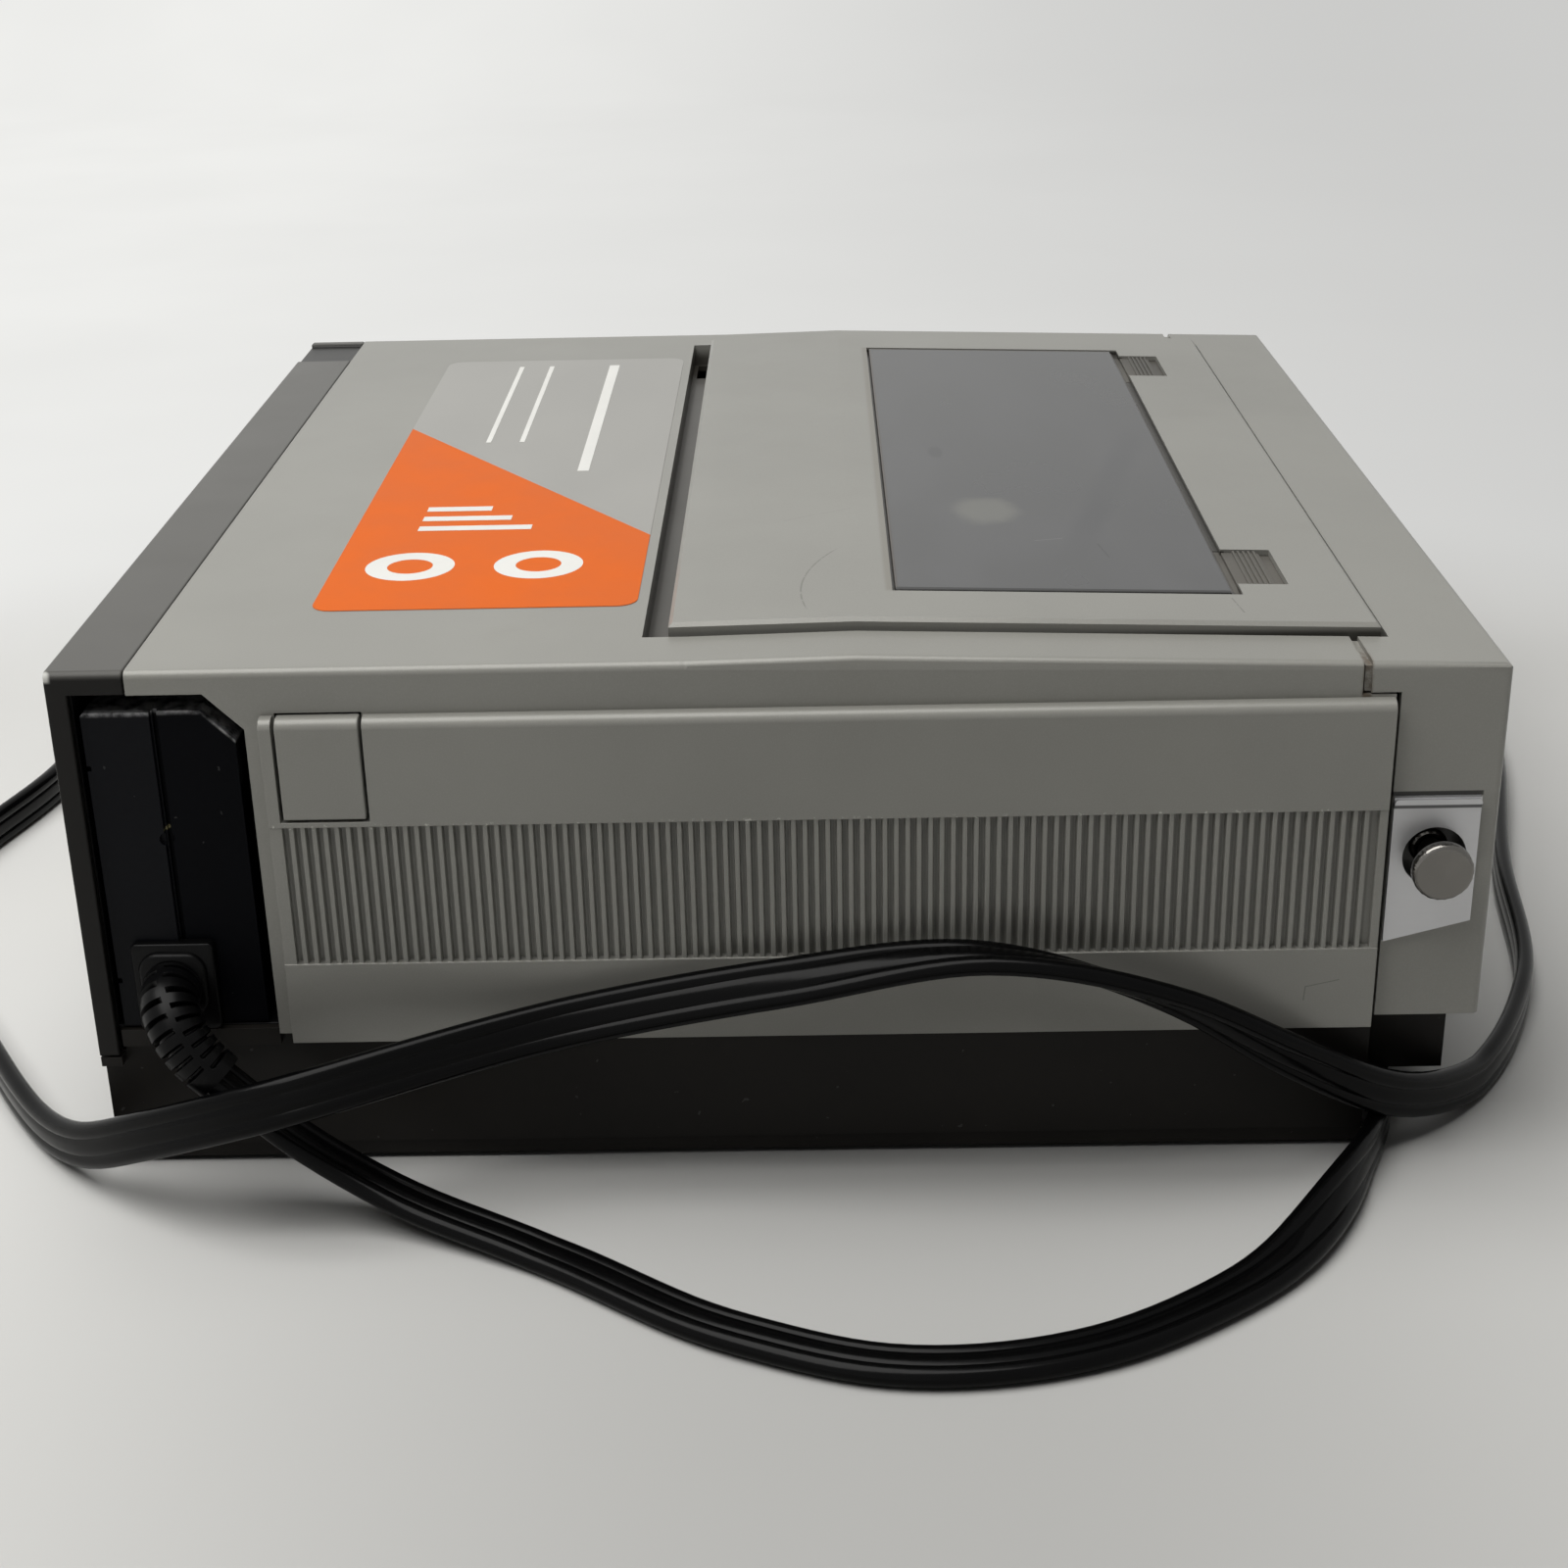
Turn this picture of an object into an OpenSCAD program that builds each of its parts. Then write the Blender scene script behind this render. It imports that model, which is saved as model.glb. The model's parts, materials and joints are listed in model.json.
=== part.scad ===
// Portable top-loading video cassette recorder with a mains adaptor in its battery bay.
// Millimetres, +Z up. X runs from the left side to the right, the front faces -Y.
// The origin is on the floor, in the middle of the machine.
// Places along the case are given as s, the distance in front of the rear face.

/* [Case] */
// Width between the outer faces of the side walls
body_w = 264; // [262:1:266]
// Depth from the rear face to the front face
body_d = 265; // [265:1:267]
// Height of the top at the rear
rear_h = 105; // [104.5:0.5:106]
// Height of the low ridge that crosses the top
ridge_h = 105.6; // [105:0.1:106]
// Height of the top at the front edge
front_h = 102; // [101.5:0.1:102.5]
// Distance of the ridge from the rear face
ridge_s = 147; // [140:1:150]
// Wall thickness of the moulded case
shell = 2.4; // [2:0.2:2.8]
// Width of the dark rear frame on top
rear_strip = 14.7; // [14:0.1:15]
// Where the front frame starts, from the rear face
front_seam = 238; // [237.5:0.5:239]
// Radius of the moulded outer edges
edge_r = 1.5; // [1:0.25:2]

/* [Side panels] */
// How far a side panel stands out of the side wall
panel_out = 3; // [2.5:0.25:3.5]
// Height of the bottom edge of a side panel
panel_low = 30; // [30:0.5:31]
// Height of the top edge of a side panel
panel_high = 96.2; // [95:0.2:97]
// Pitch of the upright ribs
rib_pitch = 2.1; // [1.9:0.1:2.5]
// Travel of the battery eject button
button_travel = 2.5; // [1.5:0.5:3]

/* [Lid] */
// Width of the cassette lid
lid_w = 233.6; // [231.2:0.4:234]
// How far the lid stands above the top cover
lid_proud = 2.1; // [1.6:0.1:2.3]
// Opening angle of the lid and its cassette holder
lid_angle = 28; // [15:1:30]
// Length of the smoked window, across the machine
window_w = 200; // [190:1:200]

/* [Power pack] */
// Length of the mains adaptor in the battery bay
adaptor_l = 188; // [180:1:190]
// Clearance of the adaptor above the floor of the bay
adaptor_gap = 0.3; // [0.2:0.1:0.5]

/* [Mechanism] */
// Radius of the video head drum
drum_r = 31; // [30:0.5:31]
// Lean of the head drum
drum_tilt = 5; // [0:1:6]
// Distance from the machine's middle to each reel spindle
reel_x = 46; // [45:0.5:47]
// Radius of the capstan flywheel
flywheel_r = 28; // [26:1:28]
// Radius of the capstan motor's pulley
pulley_r = 7; // [6:0.5:8]

/* [Mains lead] */
// Width of the flat three-core lead
cord_w = 9.6; // [9:0.1:9.6]
// Thickness of the flat lead
cord_t = 3.7; // [3.2:0.1:3.7]

/* [Hidden] */
$fn = 48;

silver = [0.57, 0.57, 0.54];
silver_key = [0.62, 0.62, 0.59];
dark_grey = [0.3, 0.3, 0.29];
black = [0.1, 0.1, 0.1];
blue_black = [0.09, 0.095, 0.12];
steel = [0.72, 0.73, 0.74];
brass = [0.78, 0.63, 0.35];

side_x = body_w / 2;
inside_x = side_x - shell;
cover_low = 30.5;
rise_s = 116;
step_z = 96.6;
cover_front = 244.2;
frame_s = 245.1;
frame_low = 31;
rear_low = 26;

base_x = side_x - 2.8;
base_rear = 0.1;
base_low = 1.2;
base_front = 245.3;
base_top = 30.2;
toe_x = side_x - 16;
toe_front = 263.5;
toe_low = 10.2;
foot_places = [[-105, 24], [105, 24], [-105, 208], [105, 208]];
screw_places = [[-108, 62], [108, 62], [-108, 228], [108, 228]];

panel_s = [38.6, 243.9];
band_z = [46.8, 75];
button_s = [41.5, 56.8];
button_low = 76.5;

bay_s = [4, 35.5];
bay_z = [31.5, 100.5];
bay_chamfer = 7;
bay_x = [-129.4, 62];
liner = 1.3;
bay_sill_s = [4.6, 35.3];

adaptor_s = [5.2, 33];
adaptor_z = [31.5 + adaptor_gap, 96.5];
adaptor_seam = 18.2;
adaptor_face = -130.3;
half_step = 0.8;

hole_s = [107.6, 245.3];
hole_x = 118.2;
trough_s = [105.2, 111.6];
trough_low = 98;
lid_s = [112.4, 244.2];
lid_t = 2.6;
lid_skirt = 4.6;
window_s = [155.1, 220.1];
catch_x = 83.8;
catch_s = [221, 231.2];
pivot_s = 116.5;
pivot_z = 98.5;
pin_r = 2;

chassis_z = [44, 45.6];
drum_s = 84;
reel_s = 182;
capstan = [62, 114];
motor = [98, 92];
pinch_pivot = [88, 126];
pinch_wheel = [75.8, 108.3];
board_notch = [79, 112];

key_first = -42;
key_pitch = 19;
key_size = [17, 11];
key_z = 72;
knob_x = -84;
knob_z = 48;
knob_r = 7;

// Route of the mains lead from the end of the strain relief: s, distance outside the left
// wall, height, and roll of its wide side (0 lies flat, 90 and -90 stand on edge).
cord_route = [
    [26.5, 13, 28.5, 0], [40, 15.3, 17, 0], [58, 19.5, 7, 0], [84, 31, 2.3, 0], [125, 58.5, 2, 0],
    [150, 67.5, 2, 0], [187, 63, 2, 0], [206, 52.5, 2.1, 0], [223, 38.5, 2.5, -12],
    [236, 21.5, 4.1, -52], [243.5, 8, 4.9, -84], [250, -7, 4.9, -90], [254, -40, 4.9, -90],
    [254, -225, 4.9, -90], [254.5, -250, 4.9, -90], [264, -273, 4.9, -90], [286, -282, 4.9, -90],
    [308, -273, 4.9, -90], [318, -250, 4.9, -90], [301.8, -110, 4.9, -90], [291, -56, 5, -90],
    [270, -18, 5.4, -90], [250.5, -1, 13, -84], [229, 7, 26, -72], [207, 9, 39, -44],
    [171, 8.8, 49, 0], [132, 9, 44.5, 48], [95, 8.6, 37.4, 66], [32, 23, 26.6, 76],
    [12, 15, 17.4, 82], [-4, 4, 8.6, 88], [-38, -42, 4.9, 90], [-76, -125, 4.9, 90],
    [-64, -190, 4.9, 90], [-73, -300, 4.9, 90], [-63, -323, 4.9, 90], [-40, -333, 4.9, 90],
    [-17, -323, 4.9, 90], [-7, -300, 5, 90], [-17, -178, 11, 90]];

// The strain relief's curve from its flange to the lead, with its radius.
boot_route = [
    [16.4, 0.8, 41.6, 5.6], [17, 6.4, 40.6, 5.55], [19, 10.4, 37.2, 5.5], [22.4, 12.4, 32.8, 5.45],
    [26.5, 13, 28.5, 5.4]];

plug_face = [-17, -178, 11];

// y of a place s in front of the rear face
function from_rear(s) = body_d / 2 - s;

// Height of the top surface at a place s in front of the rear face
function top_z(s) = s < rise_s ? rear_h
    : s < ridge_s ? rear_h + (ridge_h - rear_h) * (s - rise_s) / (ridge_s - rise_s)
    : ridge_h + (front_h - ridge_h) * (s - ridge_s) / (body_d - ridge_s);

function unit(v) = v / norm(v);

// Distance from one route point to the next
function leg(route, i) = norm([for (k = [0:2]) route[i + 1][k] - route[i][k]]);

// Change along the route at point i for each millimetre of length
function slope(route, i) = i == 0 ? (route[1] - route[0]) / leg(route, 0)
    : i == len(route) - 1 ? (route[i] - route[i - 1]) / leg(route, i - 1)
    : let (a = leg(route, i - 1), b = leg(route, i))
        ((route[i] - route[i - 1]) * b / a + (route[i + 1] - route[i]) * a / b) / (a + b);

// The route's rings, about gap apart, on a smooth curve through its points
function rings(route, gap) = [
    for (i = [0:len(route) - 2])
        let (length = leg(route, i), n = max(1, round(length / gap)))
            for (k = [0:n - 1])
                let (t = k / n, u = 1 - t)
                    (1 + 2 * t) * u * u * route[i] + t * u * u * length * slope(route, i)
                        + t * t * (3 - 2 * t) * route[i + 1]
                        - t * t * u * length * slope(route, i + 1),
    route[len(route) - 1]];

// Ring of the flat lead, lifted where it would sink into the table
function on_table(p) = [p[0], p[1],
    max(p[2], abs(sin(p[3])) * cord_w / 2 + abs(cos(p[3])) * cord_t / 2), p[3]];

// A route point in the machine's own frame
function place(p) = [-side_x - p[1], from_rear(p[0]), p[2]];

// Along-the-route direction at ring i
function heading(ring, i) = unit(place(ring[min(i + 1, len(ring) - 1)]) - place(ring[max(i - 1, 0)]));

// Box between pairs of x, s and z
module block(x, s, z) {
    translate([x[0], from_rear(s[1]), z[0]])
        cube([x[1] - x[0], s[1] - s[0], z[1] - z[0]]);
}

// Upright round post at [x, s] between two heights
module post(at, z, r) {
    translate([at[0], from_rear(at[1]), z[0]])
        cylinder(h = z[1] - z[0], r = r);
}

// Round bar along x at [s, z]
module bar(x, at, r) {
    translate([x[0], from_rear(at[0]), at[1]])
        rotate([0, 90, 0])
            cylinder(h = x[1] - x[0], r = r);
}

// Round bar along the machine's depth at [x, z]
module depth_bar(at, s, r) {
    translate([at[0], from_rear(s[0]), at[1]])
        rotate([90, 0, 0])
            cylinder(h = s[1] - s[0], r = r);
}

// Outline of [s, z] points carried across the machine
module side_profile(points, x) {
    translate([x[0], 0, 0])
        rotate([90, 0, 90])
            linear_extrude(x[1] - x[0])
                polygon([for (p = points) [from_rear(p[0]), p[1]]]);
}

// Rectangle with round corners, centred
module round_rect(w, h, r) {
    square([w - 2 * r, h], center = true);
    square([w, h - 2 * r], center = true);
    for (x = [-1, 1], y = [-1, 1])
        translate([x * (w / 2 - r), y * (h / 2 - r)])
            circle(r);
}

// Cutter for the long top edge of a side wall, from s0 to s1, along the slope of the top
module top_edge_cutter(side, s, z, r) {
    run = s[1] - s[0];
    lean = -atan2(z[1] - z[0], run);
    mirror([side > 0 ? 1 : 0, 0, 0])
        translate([-side_x, from_rear(s[0]), z[0]])
            rotate([lean, 0, 0])
                translate([0, -run - 0.5, 0])
                    difference() {
                        translate([-1, 0, -r])
                            cube([r + 1, run + 1, r + 1]);
                        translate([r, -1, -r])
                            rotate([-90, 0, 0])
                                cylinder(h = run + 3, r = r);
                    }
}

// Tube of changing round or flat section through rings of points
module swept(points, sides) {
    count = len(points) / sides;
    walls = [
        for (i = [0:count - 2], k = [0:sides - 1])
            let (a = i * sides + k, b = i * sides + (k + 1) % sides)
                each [[a, b, a + sides], [b, b + sides, a + sides]]];
    ends = [
        for (k = [1:sides - 2])
            each [[0, k + 1, k],
                [(count - 1) * sides, (count - 1) * sides + k, (count - 1) * sides + k + 1]]];
    polyhedron(points = points, faces = concat(walls, ends));
}

module base_tray() {
    color(black)
        difference() {
            union() {
                block([-base_x, base_x], [base_rear, base_front], [base_low, base_top]);
                block([-toe_x, toe_x], [base_front - 2, toe_front], [toe_low, frame_low]);
                block([-base_x, base_x], [39, 242.9], [base_top - 1, base_top + 6]);
                block([-base_x - 1.8, -base_x + 0.5], bay_sill_s, [base_top - 2.6, base_top]);
                block([-base_x - 1.8, -base_x - 0.3], bay_sill_s, [base_top - 0.1, base_top + 1]);
                block([-base_x - 2.4, -base_x + 1], [base_rear, 4.2], [rear_low - 2.4, rear_low - 0.4]);
            }
            block([-base_x + shell, base_x - shell], [3, base_front - shell], [base_low + shell, 40]);
            block([-toe_x + shell, toe_x - shell], [base_front - 3, toe_front - shell],
                [toe_low + shell, 40]);
            block([-140, 140], [-1, 4.5], [rear_low - 0.2, 40]);
            block([-140, -base_x + 0.8], [-1, base_front + 1], [0, 4.6]);
            block([base_x - 0.8, 140], [-1, base_front + 1], [0, 4.6]);
            for (at = screw_places) {
                post(at, [0, 6], 3.4);
                post(at, [0, 50], 1.7);
            }
            for (at = foot_places)
                post(at, [0, 6], 2);
            for (i = [0:9])
                block([-40, 40], [80 + i * 12, 83 + i * 12], [0, 5]);
        }
    color(black)
        for (at = screw_places)
            difference() {
                post(at, [base_low + shell - 0.1, chassis_z[0]], 5);
                post(at, [0, 6], 3.4);
                post(at, [0, 50], 1.7);
            }
    color(black)
        for (x = [-90, 20])
            block([x, x + 3], [6, 34], [base_low + shell - 0.1, bay_z[0] - liner]);
}

cover_outline = [
    [rear_strip, cover_low], [rear_strip, top_z(rear_strip)], [rise_s, rear_h],
    [ridge_s, ridge_h], [front_seam, top_z(front_seam)], [front_seam, step_z],
    [cover_front, step_z], [cover_front, cover_low]];

module bay_hole(t, x) {
    side_profile([[bay_s[0] - t, bay_z[0] - t], [bay_s[1] + t, bay_z[0] - t],
        [bay_s[1] + t, bay_z[1] - bay_chamfer + 0.414 * t],
        [bay_s[1] - bay_chamfer + 0.414 * t, bay_z[1] + t], [bay_s[0] - t, bay_z[1] + t]], x);
}

module top_cover() {
    color(silver)
        difference() {
            side_profile(cover_outline, [-side_x, side_x]);
            side_profile([[0, 0], [0, rear_h - shell], [rise_s, rear_h - shell],
                [ridge_s, ridge_h - shell], [body_d, front_h - shell], [body_d, 0]],
                [-inside_x, inside_x]);
            block([-hole_x, hole_x], [hole_s[0], 260], [90, 120]);
            bay_hole(0, [-140, -120]);
            block([-140, -120], [0, bay_s[1]], [20, bay_z[0] + 5]);
            block([-140, -120], [button_s[0] - 0.3, button_s[1] + 0.3], [button_low - 0.3, step_z]);
            for (side = [-1, 1]) {
                top_edge_cutter(side, [rear_strip - 1, rise_s], [rear_h, rear_h], edge_r);
                top_edge_cutter(side, [rise_s, ridge_s], [rear_h, ridge_h], edge_r);
                top_edge_cutter(side, [ridge_s, front_seam], [ridge_h, top_z(front_seam)], edge_r);
            }
        }
    color(silver)
        for (x = [-80, -20, 40, 100])
            block([x, x + 1.2], [40, 104], [rear_h - shell - 3, rear_h - shell + 0.1]);
    color(silver)
        lid_trough();
}

// Trough behind the lid that its rear edge dips into, with a drain slot at the right
module lid_trough() {
    wide = hole_x + 1.6;
    difference() {
        block([-wide, wide], [trough_s[0], trough_s[1]], [trough_low, rear_h - shell + 0.1]);
        block([-hole_x, hole_x], [hole_s[0], trough_s[1] + 1], [trough_low + 1.4, rear_h]);
        block([103, hole_x - 0.7], [hole_s[0] + 1, trough_s[1] + 1], [trough_low - 1, trough_low + 2]);
    }
}

module front_frame() {
    outline = [[front_seam + 0.4, top_z(front_seam + 0.4)], [body_d, front_h], [body_d, frame_low],
        [frame_s, frame_low], [frame_s, step_z + 0.4], [front_seam + 0.4, step_z + 0.4]];
    color(silver)
        difference() {
            union() {
                difference() {
                    side_profile(outline, [-side_x, side_x]);
                    side_profile([[front_seam - 2, top_z(front_seam) - shell],
                        [body_d - 3, front_h - shell], [body_d - 3, frame_low + shell],
                        [front_seam - 2, frame_low + shell]], [-inside_x, inside_x]);
                }
                for (side = [-1, 1])
                    mirror([side > 0 ? 1 : 0, 0, 0])
                        bar([-side_x + 1, -side_x + 6], [253.4, 64.7], 8);
            }
            block([-hole_x, hole_x], [230, hole_s[1]], [90, 120]);
            for (side = [-1, 1]) {
                top_edge_cutter(side, [front_seam, body_d], [top_z(front_seam), front_h], edge_r);
                mirror([side > 0 ? 1 : 0, 0, 0]) {
                    bar([-side_x - 1, -side_x + 4], [253.4, 64.7], 5.9);
                    front_corner_cutter();
                }
            }
            front_top_cutter();
            seam_rebate();
            block([-56, 106], [body_d - 1, body_d + 1], [key_z - 9, key_z + 9]);
            for (i = [0:7])
                key_hole(i, 0.3, [body_d - 4, body_d + 1]);
            block([-108, -68], [body_d - 4, body_d + 1], [64, 84]);
            depth_bar([knob_x, knob_z], [body_d - 4, body_d + 1], knob_r + 0.05);
        }
}

// Shallow rebate where the front frame meets the cover, over the top and down both sides
module seam_rebate() {
    s = [front_seam, front_seam + 1.6];
    block([-side_x - 1, side_x + 1], s, [top_z(s[1]) - 0.9, rear_h]);
    for (side = [-1, 1])
        mirror([side > 0 ? 1 : 0, 0, 0])
            block([-side_x - 1, -side_x + 0.9], s, [step_z, rear_h]);
}

// Rounds a front corner from bottom to top
module front_corner_cutter() {
    translate([-side_x, -body_d / 2, 0])
        difference() {
            translate([-1, -1, 20])
                cube([edge_r + 1, edge_r + 1, 90]);
            translate([edge_r, edge_r, 10])
                cylinder(h = 110, r = edge_r);
        }
}

// Rounds the long front edge of the top
module front_top_cutter() {
    translate([-side_x - 1, -body_d / 2, front_h])
        difference() {
            translate([0, -1, -edge_r])
                cube([body_w + 2, edge_r + 1, edge_r + 1]);
            translate([-1, edge_r, -edge_r])
                rotate([0, 90, 0])
                    cylinder(h = body_w + 4, r = edge_r);
        }
}

module rear_frame() {
    color(dark_grey)
        difference() {
            block([-side_x, side_x], [0, rear_strip - 0.3], [rear_low, rear_h]);
            block([-inside_x, inside_x], [bay_s[0] - liner - 0.1, rear_strip + 1],
                [rear_low - 1, rear_h - shell]);
            bay_hole(0, [-140, -120]);
            block([-140, -120], [bay_s[0], rear_strip], [20, bay_z[0] + 5]);
            for (side = [-1, 1])
                top_edge_cutter(side, [0, rear_strip], [rear_h, rear_h], edge_r);
            block([108, 128], [-1, rear_strip + 1], [rear_h - 0.8, rear_h + 1]);
            block([66, 126], [-1, 6], [40, 92]);
            for (i = [0:8])
                block([-100 + i * 16, -92 + i * 16], [-1, 1.2], [60, 62.5]);
        }
}

// Ribbed cover panel of a side wall, with a notch for the button on the left one
module side_panel(side, notch) {
    first = panel_s[0] + 3;
    ribs = floor((panel_s[1] - panel_s[0] - 5) / rib_pitch);
    back = side_x;
    floor_out = panel_out - 1.7;
    comb = [
        [panel_s[0] + 2, 0], [panel_s[0] + 2, floor_out],
        for (i = [0:ribs - 1])
            let (s = first + (i + 0.5) * rib_pitch)
                each [[s - 0.62, floor_out], [s - 0.42, panel_out - 0.3],
                    [s + 0.42, panel_out - 0.3], [s + 0.62, floor_out]],
        [panel_s[1] - 1, floor_out], [panel_s[1] - 1, 0]];
    mirror([side > 0 ? 1 : 0, 0, 0])
        difference() {
            union() {
                block([-back - panel_out, -back], panel_s, [panel_low, band_z[0]]);
                block([-back - panel_out, -back], panel_s, [band_z[1], panel_high]);
                for (s = [[panel_s[0], panel_s[0] + 2.4], [panel_s[1] - 1.6, panel_s[1]]])
                    block([-back - panel_out + 0.2, -back], s, band_z + [-1, 1]);
                translate([0, 0, band_z[0] - 0.5])
                    linear_extrude(band_z[1] - band_z[0] + 1)
                        polygon([for (p = comb) [-back - p[1], from_rear(p[0])]]);
            }
            panel_edge_cutter(2);
            if (notch)
                block([-back - 5, -back + 1], [button_s[0] - 0.6, button_s[1] + 0.6],
                    [button_low - 0.5, 110]);
        }
}

// Rounds the top edge of the left panel and of the button in it
module panel_edge_cutter(r) {
    translate([-side_x - panel_out, from_rear(panel_s[1] + 1), panel_high])
        difference() {
            translate([-1, 0, -r])
                cube([r + 1, panel_s[1] - panel_s[0] + 2, r + 1]);
            translate([r, -1, -r])
                rotate([-90, 0, 0])
                    cylinder(h = panel_s[1] - panel_s[0] + 4, r = r);
        }
}

module strap_plate(side) {
    color(steel)
        mirror([side > 0 ? 1 : 0, 0, 0])
            difference() {
                union() {
                    side_profile([[245.2, 76.6], [261.2, 76.6], [261.2, 51.4], [245.2, 47.2]],
                        [-side_x - 1, -side_x]);
                    bar([-side_x - 1.6, -side_x], [246, 75.6], 0.8);
                    bar([-side_x - 1.6, -side_x], [260.4, 75.6], 0.8);
                    block([-side_x - 1.6, -side_x], [246, 260.4], [74.8, 76.4]);
                }
                bar([-side_x - 3, -side_x + 1], [253.4, 64.7], 5.9);
            }
}

// Mushroom stud for a shoulder strap, turned as one piece
module strap_stud(side) {
    color(steel)
        mirror([side > 0 ? 1 : 0, 0, 0])
            translate([-side_x + 4, from_rear(253.4), 64.7])
                rotate([0, -90, 0])
                    rotate_extrude()
                        polygon([[0, 0], [3.6, 0], [3.6, 0.8], [2.6, 1.4], [2.6, 9], [3.2, 9.6],
                            [5.2, 9.9], [5.6, 10.3], [5.6, 12], [5.1, 12.6], [0, 12.9]]);
}

module rubber_feet() {
    color(black)
        for (at = foot_places) {
            post(at, [0, base_low], 8);
            post(at, [base_low, base_low + shell], 2);
        }
}

module case_screws() {
    color(steel)
        for (at = screw_places)
            difference() {
                union() {
                    post(at, [3.6, 6], 3.2);
                    post(at, [6, chassis_z[1]], 1.7);
                }
                block([at[0] - 2.4, at[0] + 2.4], [at[1] - 0.4, at[1] + 0.4], [3, 4.6]);
                block([at[0] - 0.4, at[0] + 0.4], [at[1] - 2.4, at[1] + 2.4], [3, 4.6]);
            }
}

module battery_bay() {
    color(black)
        difference() {
            bay_hole(liner - 0.05, [bay_x[0], bay_x[1] + liner]);
            bay_hole(0, [bay_x[0] - 1, bay_x[1]]);
            block([-125, -113], [30, 40], [79, 89]);
        }
}

// Spring leaves that meet the pack's terminals at the end of the bay
module battery_contacts() {
    color(brass)
        for (z = [50, 70])
            side_profile([[12, z], [26, z], [26, z + 6], [12, z + 6]], [bay_x[1] - 0.8, bay_x[1]]);
    color(brass)
        for (z = [50, 70])
            translate([bay_x[1] - 0.8, from_rear(19), z])
                difference() {
                    scale([0.85, 1, 1])
                        cylinder(h = 6, r = 4);
                    translate([0, -6, -1])
                        cube([6, 12, 8]);
                }
}

// Sliding plate whose hook holds the pack, drawn back by the wedge on the button
module battery_latch() {
    color(steel) {
        difference() {
            block([-124, -122.4], [37.2, 58], [76, 93]);
            translate([0, 0, 79.5])
                linear_extrude(11)
                    polygon([for (p = [[-125, 41.5], [-125, wedge_s(-125) + 0.05],
                        [-121, wedge_s(-121) + 0.05], [-121, 41.5]]) [p[0], from_rear(p[1])]]);
        }
        block([-124, -119], [34.4, 37.4], [80.5, 87.5]);
    }
}

// Sloping side of the button's wedge at x
function wedge_s(x) = 55.6 - 0.8 * (x + 127);

module battery_eject_button() {
    color(silver_key)
        difference() {
            union() {
                block([-side_x - panel_out, -side_x + 0.6], button_s, [button_low, panel_high]);
                translate([0, 0, 80])
                    linear_extrude(10)
                        polygon([for (p = [[-132, 44], [-132, wedge_s(-127)], [-127, wedge_s(-127)],
                            [-121.5, wedge_s(-121.5)], [-121.5, 44]]) [p[0], from_rear(p[1])]]);
            }
            panel_edge_cutter(2);
        }
}

// One moulding of the adaptor, from its outer face inwards, with the seam's groove
module adaptor_half(points, face) {
    color(blue_black)
        difference() {
            side_profile(points, [face, adaptor_face + adaptor_l]);
            block([face - 1, face + 1.2], [adaptor_seam - 0.3, adaptor_seam + 0.9], [20, 110]);
            bar([face - 1, face + 0.9], [adaptor_seam, 71], 1.3);
            for (z = [41, 85])
                block([face - 1, face + 1.5], [adaptor_s[0] - 1, adaptor_s[0] + 0.8], [z, z + 1]);
        }
}

module adaptor_rear_half() {
    adaptor_half([[adaptor_s[0], adaptor_z[0]], [adaptor_seam, adaptor_z[0]],
        [adaptor_seam, adaptor_z[1]], [adaptor_s[0] + 0.6, adaptor_z[1]],
        [adaptor_s[0], adaptor_z[1] - 0.6]], adaptor_face);
}

module adaptor_front_half() {
    adaptor_half([[adaptor_seam, adaptor_z[0]], [adaptor_s[1], adaptor_z[0]],
        [adaptor_s[1], adaptor_z[1] - 6], [adaptor_s[1] - 6, adaptor_z[1]],
        [adaptor_seam, adaptor_z[1]]], adaptor_face + half_step);
}

module strain_relief() {
    sides = 14;
    ring = rings(boot_route, 0.75);
    points = [
        for (i = [0:len(ring) - 1])
            let (
                t = heading(ring, i),
                wide = unit(cross(t, [0, 0, 1])),
                thin = cross(wide, t),
                notch = i > 4 && i < len(ring) - 3 && i % 4 < 2 ? 0.85 : 0)
                for (k = [0:sides - 1])
                    let (a = 360 * k / sides)
                        place(ring[i]) + (ring[i][3] - notch) * (wide * cos(a) + thin * sin(a))];
    color(black) {
        swept(points, sides);
        translate([adaptor_face, from_rear(16.7), 40.8])
            rotate([90, 0, -90])
                linear_extrude(1.6)
                    round_rect(15.8, 18.2, 1.5);
        translate([adaptor_face - 1.6, from_rear(16.5), 41.6])
            rotate([90, 0, -90])
                linear_extrude(1.2)
                    round_rect(13, 13.4, 4);
        block([adaptor_face - 0.1, adaptor_face + half_step],
            [adaptor_seam + 1.2, 24.2], [32.4, 49.2]);
    }
}

module power_cord() {
    sides = 10;
    ring = [for (p = rings(cord_route, 22)) on_table(p)];
    push = function(v) sign(v) * pow(abs(v), 0.6);
    widest = push(cos(180 / sides));
    points = [
        for (i = [0:len(ring) - 1])
            let (
                t = heading(ring, i),
                side = unit(cross(t, [0, 0, 1])),
                up = cross(side, t),
                roll = ring[i][3],
                wide = side * cos(roll) + up * sin(roll),
                thin = up * cos(roll) - side * sin(roll))
                for (k = [0:sides - 1])
                    let (a = 360 * (k + 0.5) / sides)
                        place(ring[i]) + wide * push(cos(a)) / widest * cord_w / 2
                            + thin * push(sin(a)) * cord_t / 2];
    color(black)
        swept(points, sides);
}

// Frame of the plug, with x along it from the lead to the pins
module on_plug() {
    translate(place(plug_face))
        rotate([0, 0, 180])
            children();
}

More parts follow.
